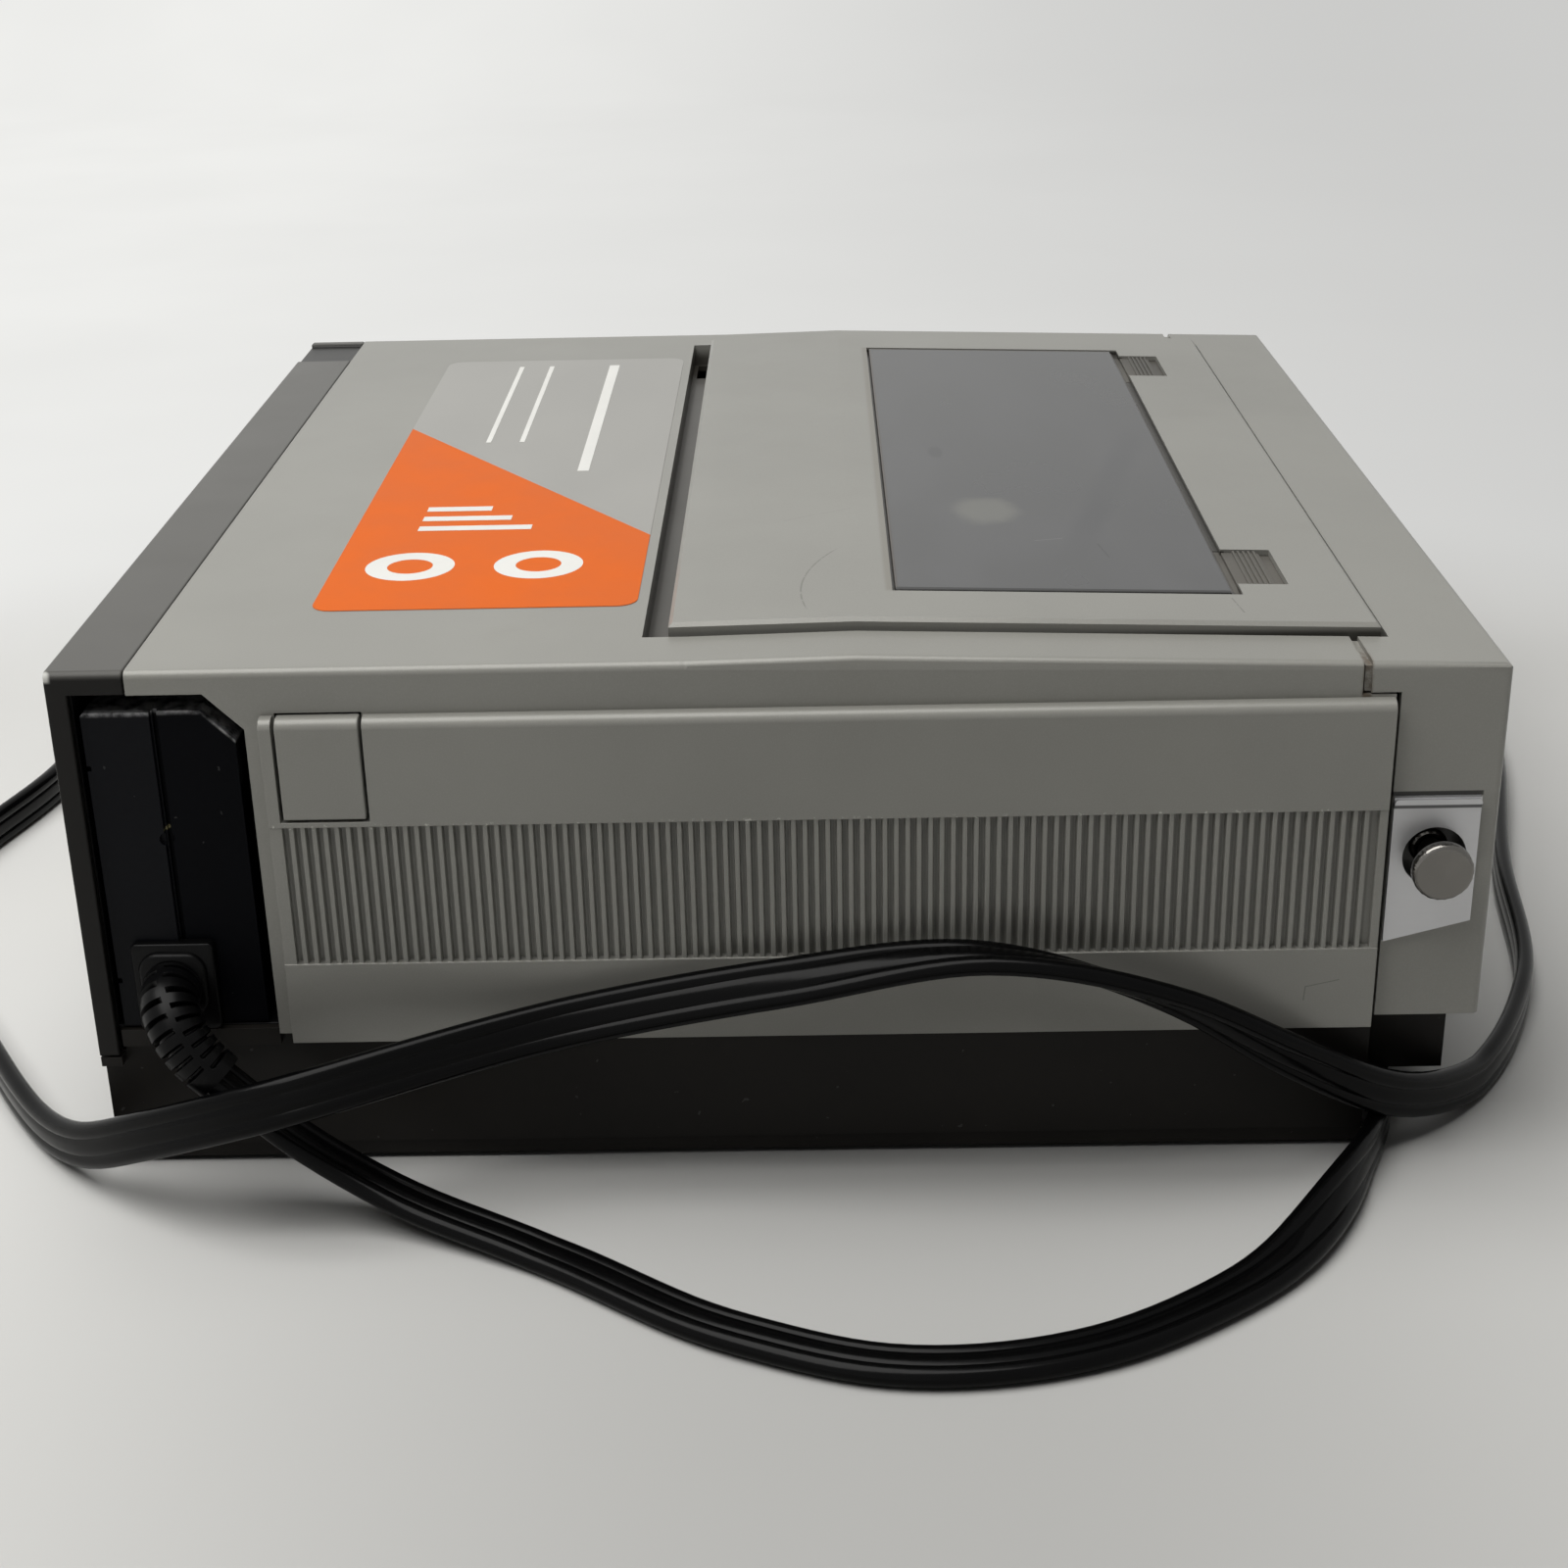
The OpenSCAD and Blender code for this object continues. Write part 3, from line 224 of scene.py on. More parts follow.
class Paint(Shading):
    """One material in the making. It reads the piece's own coordinates, in millimetres."""

    def __init__(self, name):
        self.material = bpy.data.materials.new(name)
        self.material.use_nodes = True
        super().__init__(self.material.node_tree)
        self.place = self.add("ShaderNodeVectorMath", {"operation": "SCALE"},
                              {0: self.add("ShaderNodeTexCoord", output="Object"), "Scale": 1000.0})
        self.x = self.add("ShaderNodeSeparateXYZ", {}, {0: self.place}, "X")
        self.y = self.add("ShaderNodeSeparateXYZ", {}, {0: self.place}, "Y")
        self.z = self.add("ShaderNodeSeparateXYZ", {}, {0: self.place}, "Z")
        self.s = CASE_D / 2 - self.y

    def noise(self, scale, detail=3.0, roughness=0.55, stretch=(1, 1, 1)):
        """Soft noise with lumps about 1/scale millimetres across."""
        place = self.place
        if stretch != (1, 1, 1):
            place = self.add("ShaderNodeVectorMath", {"operation": "MULTIPLY"}, {0: place, 1: stretch})
        return self.add("ShaderNodeTexNoise", {},
                        {"Vector": place, "Scale": scale, "Detail": detail, "Roughness": roughness})

    def mix(self, factor, first, second):
        """Colour that goes from first to second as factor goes from 0 to 1."""
        return self.add("ShaderNodeMix", {"data_type": "RGBA"}, {0: factor, 6: first, 7: second}, 2)

    def bump(self, height, strength, distance):
        """Surface tilt from a height field. distance is in metres."""
        return self.add("ShaderNodeBump", {},
                        {"Height": height, "Strength": strength, "Distance": distance})

    def segment(self, u, v, start, end, width):
        """1 on a straight stroke between two points of the u, v plane, in millimetres."""
        run = (end[0] - start[0], end[1] - start[1])
        length = math.hypot(*run)
        along = ((u - start[0]) * (run[0] / length) + (v - start[1]) * (run[1] / length))
        across = abs((u - start[0]) * (-run[1] / length) + (v - start[1]) * (run[0] / length))
        beyond = abs(along - length / 2) - length / 2
        return across.at_least(beyond).rise(width, width * 0.4)

    def disc(self, u, v, centre, across=1.0):
        """Distance from a point of the u, v plane, in millimetres. across stretches v."""
        off_u = u - centre[0]
        off_v = (v - centre[1]) / across
        return (off_u * off_u + off_v * off_v).root()

    def arc(self, u, v, centre, radius, ends, width):
        """1 on the lower part of a circular stroke, between two values of u, in millimetres."""
        stroke = abs(self.disc(u, v, centre) - radius).rise(width, width * 0.4)
        middle = (ends[0] + ends[1]) / 2
        half = (ends[1] - ends[0]) / 2
        return stroke * abs(u - middle).rise(half + 1, half - 3) * (centre[1] - v).rise(0, 1)

    def finish(self, **inputs):
        """Ends the material in one Principled surface."""
        names = {"colour": "Base Color", "roughness": "Roughness", "metallic": "Metallic",
                 "normal": "Normal", "coat": "Coat Weight", "coat_roughness": "Coat Roughness",
                 "alpha": "Alpha", "specular": "Specular IOR Level", "ior": "IOR",
                 "transmission": "Transmission Weight", "sheen": "Sheen Weight"}
        shader = self.add("ShaderNodeBsdfPrincipled", {}, {names[k]: v for k, v in inputs.items()})
        self.end("ShaderNodeOutputMaterial", shader)
        return self.material


def satin_paint(name, tone, rough=0.4, speck=0.1):
    """The silver-grey paint of the mouldings: fine metallic specks over a soft mottle."""
    paint = Paint(name)
    mottle = paint.noise(0.015, 3.0)
    specks = paint.noise(3.2, 2.0, 0.7)
    grime = paint.noise(0.05, 6.0, 0.65).rise(0.55, 0.8)
    light = tuple(c * 1.03 for c in tone)
    dark = tuple(c * 0.95 for c in tone)
    dirty = (tone[0] * 0.8, tone[1] * 0.77, tone[2] * 0.7)
    body = paint.mix(mottle.rise(0.3, 0.7), dark, light)
    body = paint.mix(specks.rise(0.42, 0.68) * speck, body, tuple(min(1, c * 1.5) for c in tone))
    body = paint.mix(grime * 0.15, body, dirty)
    hairs = paint.noise(0.5, 2.0, 0.5, (0.04, 1, 1)).rise(0.7, 0.76)
    body = paint.mix(hairs * 0.08, body, light)
    return paint, body, {
        "metallic": 0.08,
        "roughness": paint.noise(0.04, 3.0) * 0.1 + (rough - 0.05),
        "normal": paint.bump(specks, 0.12, 0.00004),
        "specular": 0.32,
        "coat": 0.2,
        "coat_roughness": 0.12,
    }


SILVER = (0.268, 0.265, 0.243)


def seam_stain(paint, body):
    """Brown dirt that has crept out of the seam between the cover and the front frame."""
    near_seam = abs(paint.s - 238.8).rise(1.3, 0.5) * paint.noise(0.35, 4.0, 0.7).rise(0.3, 0.6)
    at_corner = abs(paint.x + 130).rise(10, 2)
    return paint.mix(near_seam * (0.15 + at_corner * 0.6), body, (0.08, 0.05, 0.024))


def cover_paint():
    paint, body, rest = satin_paint("cover_paint", SILVER)
    body = seam_stain(paint, body)
    # Painted shade: the trough under the lid's rear edge is darkened to near black.
    trough_shade = paint.z.rise(104.6, 101) * abs(paint.s - 108.4).rise(3.6, 3.2)
    trough_shade = trough_shade * abs(paint.x).rise(119, 118)
    body = paint.mix(trough_shade * 0.92, body, (0.035, 0.03, 0.023))
    return paint.finish(colour=body, **rest)


def front_paint():
    paint, body, rest = satin_paint("front_paint", SILVER)
    body = seam_stain(paint, body)
    # Painted shade: the socket around the strap stud, and a thin line on the frame just over the strap plate, are
    # darkened to near black.
    socket = paint.disc(paint.s, paint.z, (253.4, 64.7)).rise(6.6, 6.2) * abs(paint.x).rise(120, 121)
    shade_over_plate = abs(paint.z - 77).rise(0.55, 0.35) * abs(paint.s - 253.2).rise(8.6, 8.2)
    dark = socket.at_least(shade_over_plate * abs(paint.x).rise(131, 131.5))
    body = paint.mix(dark * 0.92, body, (0.012, 0.011, 0.01))
    return paint.finish(colour=body, **rest)


def lid_paint():
    paint, body, rest = satin_paint("lid_paint", SILVER)
    scratch = paint.arc(paint.x, paint.s, (-100.7, 186), 49, (-111, -75), 0.24)
    hair = paint.segment(paint.s, paint.x, (133.5, -54.8), (140, -51.3), 0.12)
    hair = hair.at_least(paint.segment(paint.s, paint.x, (140, -51.3), (147.5, -47.2), 0.12))
    tick = paint.segment(paint.s, paint.x, (218.8, -103.4), (219.8, -111.5), 0.2)
    marks = scratch.at_least(tick).at_least(hair * 0.6) * paint.noise(0.6, 3.0).rise(0.3, 0.45)
    body = paint.mix(marks * 0.55, body, (0.1, 0.097, 0.085))
    # Painted shade: a brownish dark band along the rear edge of the window's recess.
    recess_edge_shade = abs(paint.s - 154.2).rise(1.5, 0.5) * abs(paint.x).rise(102, 100)
    body = paint.mix(recess_edge_shade * 0.4, body, (0.14, 0.12, 0.09))
    # Painted shade: the sunken floor of the window's recess is darkened.
    sunk_shade = (paint.z + paint.s * 0.0305).rise(111.9, 111.6) * abs(paint.s - 187.9).rise(34.5, 34)
    body = paint.mix(sunk_shade * abs(paint.x).rise(102, 101.5) * 0.9, body, (0.02, 0.018, 0.015))
    # Painted shade: the lid's low side walls are darker than its top.
    lid_side_shade = paint.z.rise(104.4, 102.8) * abs(paint.x).rise(116, 116.5)
    body = paint.mix(lid_side_shade * 0.85, body, (0.045, 0.042, 0.034))
    return paint.finish(colour=body, **rest)


def panel_paint():
    paint, body, rest = satin_paint("panel_paint", SILVER)
    tick = paint.segment(paint.s, paint.z, (230.7, 36.1), (230.9, 38.9), 0.16)
    tail = paint.segment(paint.s, paint.z, (230.9, 38.9), (237.1, 40.3), 0.13)
    body = paint.mix(tick.at_least(tail) * 0.6, body, (0.1, 0.1, 0.095))
    # Painted shade: dark lines in the grooves between the ribs of the rib band.
    between = abs((paint.s - 41.6 - 1.05) / 2.1)
    groove = abs(between - between.math("ROUND")).rise(0.3, 0.48)
    in_band = abs(paint.z - 60.9).rise(14.4, 13.6) * abs(paint.s - 141).rise(101, 100)
    body = paint.mix(groove * in_band * 0.45, body, (0.1, 0.1, 0.09))
    # Chipped paint and a painted highlight: pale flecks along the top edge of the rib band.
    chips_and_highlight = abs(paint.z - 75).rise(0.8, 0.2) * paint.noise(0.9, 3.0).rise(0.6, 0.66)
    body = paint.mix(chips_and_highlight * 0.6, body, (0.7, 0.69, 0.64))
    return paint.finish(colour=body, **rest)


def grey_paint():
    """Dark grey moulding, with a painted sheen that makes its top paler than its sides."""
    paint, body, rest = satin_paint("rear_paint", (0.012, 0.0113, 0.0105), 0.3, 0.03)
    # Painted sheen: the top is paler than the sides.
    painted_top_sheen = paint.z.rise(103.4, 104.7)
    body = paint.mix(painted_top_sheen, body, paint.mix(paint.noise(0.05, 4.0), (0.085, 0.083, 0.077), (0.102, 0.1, 0.093)))
    patch = abs(paint.x - 118).rise(10.6, 9.6) * paint.z.rise(102, 102.6)
    body = paint.mix(patch * 0.9, body, (0.008, 0.008, 0.008))
    chip = paint.disc(paint.x, paint.s, (-132, 0)).rise(1.6, 0.7) * paint.z.rise(102.8, 103.6)
    body = paint.mix(chip, body, (0.6, 0.6, 0.57))
    rest["metallic"] = 0.0
    rest["coat"] = 0.0
    rest["specular"] = 0.15
    return paint.finish(colour=body, **rest)


def button_paint():
    paint, body, rest = satin_paint("button_paint", SILVER)
    return paint.finish(colour=body, **rest)


def moulding(name, tone, rough, worn=0.0, grain=1.6, specular=0.4):
    """Matte moulded plastic with a fine grain and a few pale specks of wear."""
    paint = Paint(name)
    fine = paint.noise(grain, 4.0, 0.6)
    cloud = paint.noise(0.03, 4.0)
    body = paint.mix(cloud.rise(0.3, 0.7), tuple(c * 0.8 for c in tone), tuple(c * 1.25 for c in tone))
    specks = paint.noise(0.45, 2.0, 0.5).rise(0.735, 0.75)
    body = paint.mix(specks * worn, body, (0.3, 0.3, 0.3))
    return paint.finish(colour=body, roughness=cloud * 0.2 + (rough - 0.1),
                        normal=paint.bump(fine, 0.25, 0.00008), specular=specular)


def adaptor_paint(name, tone, specular):
    """Blue-black moulding, paler on its top edge and its long chamfer from rubbed wear and a painted highlight."""
    paint = Paint(name)
    cloud = paint.noise(0.03, 4.0)
    body = paint.mix(cloud.rise(0.3, 0.7), tuple(c * 0.8 for c in tone), tuple(c * 1.25 for c in tone))
    # Rubbed wear and a painted highlight along the top edge and the long chamfer.
    wear_and_highlight = paint.z.rise(95.4, 96.4).at_least((paint.s + paint.z).rise(122.6, 123.4))
    body = paint.mix(wear_and_highlight * paint.noise(0.3, 4.0, 0.6).rise(0.3, 0.65), body, (0.42, 0.42, 0.43))
    dots = paint.noise(0.45, 2.0, 0.5).rise(0.755, 0.765)
    body = paint.mix(dots * 0.15, body, (0.2, 0.2, 0.2))
    speck = paint.disc(paint.s, paint.z, (18.3, 72.9)).rise(0.5, 0.25)
    body = paint.mix(speck, body, (0.3, 0.27, 0.14))
    return paint.finish(colour=body, roughness=cloud * 0.2 + 0.32, specular=specular,
                        normal=paint.bump(paint.noise(1.1, 4.0, 0.6), 0.25, 0.00008))


def lead_jacket(name, tone, dusty, rough, specular):
    """Slightly glossy vinyl, with a fine drag along it and dusty patches."""
    paint = Paint(name)
    drag = paint.noise(0.35, 5.0, 0.7)
    dust = paint.noise(0.06, 5.0, 0.7).rise(0.5, 0.75)
    body = paint.mix(dust * 0.25, (tone, tone, tone * 1.1), (dusty, dusty, dusty * 1.05))
    return paint.finish(colour=body, roughness=drag * 0.16 + rough - 0.08,
                        normal=paint.bump(drag, 0.1, 0.0002), specular=specular)


def bright_metal(name, tone, rough, brushed=(1, 1, 1), smeared=0.14, fine=0.9):
    paint = Paint(name)
    grain = paint.noise(fine, 4.0, 0.6, brushed)
    smear = paint.noise(0.12, 4.0, 0.6)
    body = paint.mix(smear.rise(0.35, 0.7), tuple(c * (1 - smeared) for c in tone), tone)
    return paint.finish(colour=body, metallic=1.0, roughness=grain * 0.12 + smear * 0.1 + rough,
                        normal=paint.bump(grain, 0.08, 0.00005))


def plate_metal():
    """Satin plate with a rolled top edge, and painted shade in a dark line under the roll."""
    paint = Paint("plate_metal")
    grain = paint.noise(0.9, 3.0, 0.5, (1, 0.2, 1))
    body = paint.mix(grain, (0.54, 0.54, 0.55), (0.57, 0.57, 0.58))
    # Painted shade: a dark line under the rolled top edge.
    shade_under_roll = abs(paint.z - 74.9).rise(0.55, 0.35)
    body = paint.mix(shade_under_roll * 0.85, body, (0.03, 0.03, 0.03))
    return paint.finish(colour=body, metallic=0.75, roughness=grain * 0.06 + 0.36)


def smoked_plastic():
    """Blue-grey window: a dull tint, with faint smears, a pale blot, dirt at its rim, and a painted shadow line along
    its near edge.
    """
    paint = Paint("smoked_plastic")
    smears = paint.noise(0.02, 3.0, 0.5, (1, 2.2, 1))
    body = paint.mix(smears.rise(0.35, 0.7), (0.072, 0.073, 0.075), (0.085, 0.086, 0.089))
    edge = paint.noise(0.12, 3.0, 0.6) * 6
    blot = paint.disc(paint.x, paint.s, (-48, 176), 0.7) + edge
    body = paint.mix(blot.rise(15, 9) * 0.3, body, (0.26, 0.26, 0.22))
    small_blot = paint.disc(paint.x, paint.s, (-2, 167.7), 0.35) + edge * 0.4
    body = paint.mix(small_blot.rise(7, 4) * 0.5, body, (0.04, 0.04, 0.045))
    streak = abs((paint.x - 8.6) * 0.25 - (paint.s - 213.3)).rise(5, 1)
    streak = streak * abs(paint.x + 30).rise(62, 20) * paint.noise(0.03, 3.0)
    body = paint.mix(streak * 0.7, body, (0.05, 0.052, 0.057))
    nick = paint.segment(paint.s, paint.x, (197.1, -69.9), (198.4, -78.6), 0.2)
    thread = paint.segment(paint.s, paint.x, (184.5, -68.3), (190.3, -66.5), 0.12)
    body = paint.mix(nick * 0.6, body, (0.02, 0.02, 0.022))
    body = paint.mix(thread * 0.4, body, (0.35, 0.35, 0.34))
    rim = (abs(paint.s - 187.6) - 31.7).rise(0, 0.6).at_least(abs(paint.x).rise(98.9, 99.6))
    body = paint.mix(rim * 0.6, body, (0.05, 0.035, 0.022))
    # Painted shadow: a black line along the window's near edge, where a shadow gap would show.
    body = paint.mix(paint.x.rise(-98.4, -98.7) * 0.95, body, (0.002, 0.002, 0.002))
    return paint.finish(colour=body, roughness=smears * 0.1 + 0.24, coat=0.1, specular=0.3)


def circuit_board():
    paint = Paint("circuit_board")
    tracks = paint.noise(0.25, 1.0, 0.3, (1, 0.3, 1)).rise(0.48, 0.5)
    body = paint.mix(tracks, (0.02, 0.1, 0.045), (0.05, 0.2, 0.08))
    return paint.finish(colour=body, roughness=paint.noise(0.4) * 0.2 + 0.3)


def sticker_ink(name, tone, rough=0.4, specular=0.25):
    paint = Paint(name)
    fade = paint.noise(0.05, 4.0)
    body = paint.mix(fade.rise(0.3, 0.75), tuple(c * 0.93 for c in tone), tone)
    return paint.finish(colour=body, roughness=fade * 0.15 + rough, specular=specular,
                        normal=paint.bump(paint.noise(0.15), 0.1, 0.0002))


def sticker_film():
    """Clear film with a milky haze."""
    paint = Paint("sticker_film")
    haze = paint.noise(0.02, 3.0, 0.5, (1, 1.8, 1))
    body = paint.mix(haze.rise(0.2, 0.8), (0.285, 0.28, 0.262), (0.32, 0.315, 0.295))
    return paint.finish(colour=body, roughness=haze * 0.1 + 0.28, coat=0.1)


paints = {
    "cover": cover_paint(),
    "front": front_paint(),
    "lid": lid_paint(),
    "panel": panel_paint(),
    "rear": grey_paint(),
    "button": button_paint(),
    "key": button_paint(),
    "base": moulding("base_moulding", (0.009, 0.0078, 0.0065), 0.5, 0.1, 1.6, 0.2),
    "adaptor": adaptor_paint("adaptor_moulding", (0.0024, 0.0027, 0.004), 0.1),
    "adaptor_front": adaptor_paint("adaptor_front", (0.0016, 0.0018, 0.0028), 0.05),
    "bay": moulding("bay_moulding", (0.003, 0.003, 0.0035), 0.5, 0, 1.6, 0.15),
    "lead": lead_jacket("lead_jacket", 0.0015, 0.004, 0.2, 0.1),
    "boot": lead_jacket("boot_jacket", 0.0018, 0.006, 0.32, 0.12),
    "rubber": moulding("rubber_moulding", (0.02, 0.02, 0.02), 0.7),
    "catch": moulding("catch_moulding", (0.085, 0.08, 0.07), 0.5, 0.1),
    "reel": moulding("reel_moulding", (0.03, 0.03, 0.034), 0.45),
    "plate": plate_metal(),
    "stud": bright_metal("stud_metal", (0.19, 0.182, 0.17), 0.1, (1, 1, 1), 0.05, 0.2),
    "steel": bright_metal("steel_metal", (0.5, 0.5, 0.5), 0.3, (1, 0.1, 1)),
    "brass": bright_metal("brass_metal", (0.72, 0.55, 0.26), 0.25),
    "alloy": bright_metal("alloy_metal", (0.74, 0.74, 0.73), 0.2, (1, 1, 6)),
    "window": smoked_plastic(),
    "display": sticker_ink("display_smoke", (0.012, 0.01, 0.01), 0.08, 0.5),
    "board": circuit_board(),
    "red": sticker_ink("red_paint", (0.42, 0.045, 0.03), 0.35),
    "orange": sticker_ink("sticker_orange", (0.7, 0.125, 0.004), 0.4, 0.15),
    "white": sticker_ink("sticker_white", (0.8, 0.8, 0.77)),
    "film": sticker_film(),
}


# Pieces

def dressed(obj, paint, body=None):
    obj.data.materials.clear()
    obj.data.materials.append(paints[paint])
    if body:
        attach(obj, body)
    return obj


def new_piece(name, mesh, paint, body):
    obj = bpy.data.objects.new(name, mesh)
    scene.collection.objects.link(obj)
    return dressed(obj, paint, body)


def smooth_by_angle(mesh, degrees=35):
    """Shades faces smooth and keeps edges sharper than the angle."""
    limit = math.radians(degrees)
    shape = bmesh.new()
    shape.from_mesh(mesh)
    for face in shape.faces:
        face.smooth = True
    for edge in shape.edges:
        flat = len(edge.link_faces) == 2 and edge.calc_face_angle(0) < limit
        edge.smooth = flat
    shape.to_mesh(mesh)
    shape.free()


def softened(node, paint, width, segments=2, angle=40):
    """A copy of a CAD node with its sharp edges rounded, standing in for the node."""
    source = nodes[node]
    mesh = source.data.copy()
    shape = bmesh.new()
    shape.from_mesh(mesh)
    bmesh.ops.remove_doubles(shape, verts=shape.verts, dist=2e-6)
    bmesh.ops.dissolve_limit(shape, angle_limit=math.radians(1.0), verts=shape.verts, edges=shape.edges)
    for edge in shape.edges:
        edge.smooth = len(edge.link_faces) == 2 and edge.calc_face_angle(0) > math.radians(4.5)
    shape.to_mesh(mesh)
    shape.free()
    body = source["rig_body"]
    obj = new_piece(node + "_finished", mesh, paint, body)
    bevel = obj.modifiers.new("rounded edges", "BEVEL")
    bevel.width = width * MM
    bevel.segments = segments
    bevel.limit_method = "ANGLE"
    bevel.angle_limit = math.radians(angle)
    shading = obj.modifiers.new("face shading", "WEIGHTED_NORMAL")
    shading.keep_sharp = True
    shading.weight = 100
    for face in mesh.polygons:
        face.use_smooth = True
    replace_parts(obj, node)
    return obj


def strip(name, points, height, paint, body):
    """A thin flat piece with the outline of points, standing height millimetres high."""
    shape = bmesh.new()
    face = shape.faces.new([shape.verts.new(p) for p in points])
    face.normal_update()
    if face.normal.z < 0:
        face.normal_flip()
    extruded = bmesh.ops.extrude_face_region(shape, geom=[face])
    lifted = [v for v in extruded["geom"] if isinstance(v, bmesh.types.BMVert)]
    bmesh.ops.translate(shape, vec=Vector((0, 0, height * MM)), verts=lifted)
    bmesh.ops.recalc_face_normals(shape, faces=shape.faces)
    mesh = bpy.data.meshes.new(name)
    shape.to_mesh(mesh)
    shape.free()
    return new_piece(name, mesh, paint, body)


def tube(name, rings, paint, body, closed_ends=True):
    """A skin through rings of points."""
    shape = bmesh.new()
    loops = [[shape.verts.new(p) for p in ring] for ring in rings]
    count = len(loops[0])
    for low, high in zip(loops, loops[1:]):
        for k in range(count):
            shape.faces.new((low[k], low[(k + 1) % count], high[(k + 1) % count], high[k]))
    if closed_ends:
        shape.faces.new(loops[0])
        shape.faces.new(loops[-1])
    bmesh.ops.recalc_face_normals(shape, faces=shape.faces)
    mesh = bpy.data.meshes.new(name)
    shape.to_mesh(mesh)
    shape.free()
    smooth_by_angle(mesh, 50)
    return new_piece(name, mesh, paint, body)


# The mains lead

LEAD_W = 9.6
LEAD_T = 3.7
# s, distance outside the left wall, height, and roll of the lead's wide side in degrees
LEAD_ROUTE = [
    (26.5, 13, 28.5, 0), (40, 15.3, 17, 0), (58, 19.5, 7, 0), (84, 31, 2.3, 0), (125, 58.5, 2, 0),
    (150, 67.5, 2, 0), (187, 63, 2, 0), (206, 52.5, 2.1, 0), (223, 38.5, 2.5, -12),
    (236, 21.5, 4.1, -52), (243.5, 8, 4.9, -84), (250, -7, 4.9, -90), (254, -40, 4.9, -90),
    (254, -225, 4.9, -90), (254.5, -250, 4.9, -90), (264, -273, 4.9, -90), (286, -282, 4.9, -90),
    (308, -273, 4.9, -90), (318, -250, 4.9, -90), (301.8, -110, 4.9, -90), (291, -56, 5, -90),
    (270, -18, 5.4, -90), (250.5, -1, 13, -84), (229, 7, 26, -72), (207, 9, 39, -44),
    (171, 8.8, 49, 0), (132, 9, 44.5, 48), (95, 8.6, 37.4, 66), (32, 23, 26.6, 76),
    (12, 15, 17.4, 82), (-4, 4, 8.6, 88), (-38, -42, 4.9, 90), (-76, -125, 4.9, 90),
    (-64, -190, 4.9, 90), (-73, -300, 4.9, 90), (-63, -323, 4.9, 90), (-40, -333, 4.9, 90),
    (-17, -323, 4.9, 90), (-7, -300, 5, 90), (-17, -178, 11, 90)]
BOOT_ROUTE = [
    (16.4, 0.8, 41.6, 5.6), (17, 6.4, 40.6, 5.5), (19, 10.4, 37.2, 5.3),
    (22.4, 12.4, 32.8, 5.1), (26.5, 13, 28.5, 4.9)]


def along(route, gap):
    """Points about gap millimetres apart on a smooth curve through the route's points."""
    points = [Vector(p) for p in route]
    legs = [(b - a).xyz.length for a, b in zip(points, points[1:])]
    slopes = [(points[1] - points[0]) / legs[0]]
    for i in range(1, len(points) - 1):
        before = (points[i] - points[i - 1]) / legs[i - 1]
        after = (points[i + 1] - points[i]) / legs[i]
        slopes.append((before * legs[i] + after * legs[i - 1]) / (legs[i - 1] + legs[i]))
    slopes.append((points[-1] - points[-2]) / legs[-1])
    out = []
    for i, leg in enumerate(legs):
        count = max(1, round(leg / gap))
        for k in range(count):
            t = k / count
            u = 1 - t
            out.append((1 + 2 * t) * u * u * points[i] + t * u * u * leg * slopes[i]
                       + t * t * (3 - 2 * t) * points[i + 1] - t * t * u * leg * slopes[i + 1])
    return out + [points[-1]]


def frames(ring_points):
    """For each point: its place in metres, and the heading there."""
    places = [outside(*p[:3]) for p in ring_points]
    last = len(places) - 1
    return [(place, (places[min(i + 1, last)] - places[max(i - 1, 0)]).normalized())
            for i, place in enumerate(places)]


def lead_section():
    """Outline of the three-core lead: three round lobes side by side, with a groove between."""
    lobe = LEAD_W / 6 + 0.1
    outline = []
    for step in range(60):
        angle = 2 * math.pi * (step + 0.5) / 60
        wide = LEAD_W / 2 * math.copysign(abs(math.cos(angle)) ** 0.75, math.cos(angle))
        offset = min(abs(wide - centre) for centre in (-2 * lobe, 0, 2 * lobe))
        full = LEAD_T / 2 if abs(wide) < LEAD_W / 2 - LEAD_T / 2 else math.sqrt(
            max(0.0, (LEAD_T / 2) ** 2 - (abs(wide) - LEAD_W / 2 + LEAD_T / 2) ** 2))
        groove = 0.35 * max(0.0, (offset - lobe * 0.62) / (lobe * 0.38)) if abs(wide) < 2 * lobe else 0
        outline.append((wide, math.copysign(max(full - groove, 0), math.sin(angle))))
    return outline


def make_lead():
    route = []
    for s, out, z, roll in along(LEAD_ROUTE, 4):
        turn = math.radians(roll)
        lying = abs(math.sin(turn)) * LEAD_W / 2 + abs(math.cos(turn)) * LEAD_T / 2
        route.append((s, out, max(z, lying), roll))
    section = lead_section()
    rings = []
    for (place, heading), point in zip(frames(route), route):
        side = heading.cross(Vector((0, 0, 1))).normalized()
        up = side.cross(heading)
        turn = math.radians(point[3])
        wide = side * math.cos(turn) + up * math.sin(turn)
        thin = up * math.cos(turn) - side * math.sin(turn)
        rings.append([place + wide * (w * MM) + thin * (t * MM) for w, t in section])
    lead = tube("mains_lead", rings, "lead", "power_pack")
    path = [outside(*p[:3]) for p in route]
    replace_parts(lead, "power_cord")
    return lead


BOOT_GAP = 0.3
PITCH_RINGS = 8
SLOT_RINGS = 2
SLOT_DEEP = 1.3
BOOT_SIDE = (-0.42, 0.87, -0.28)


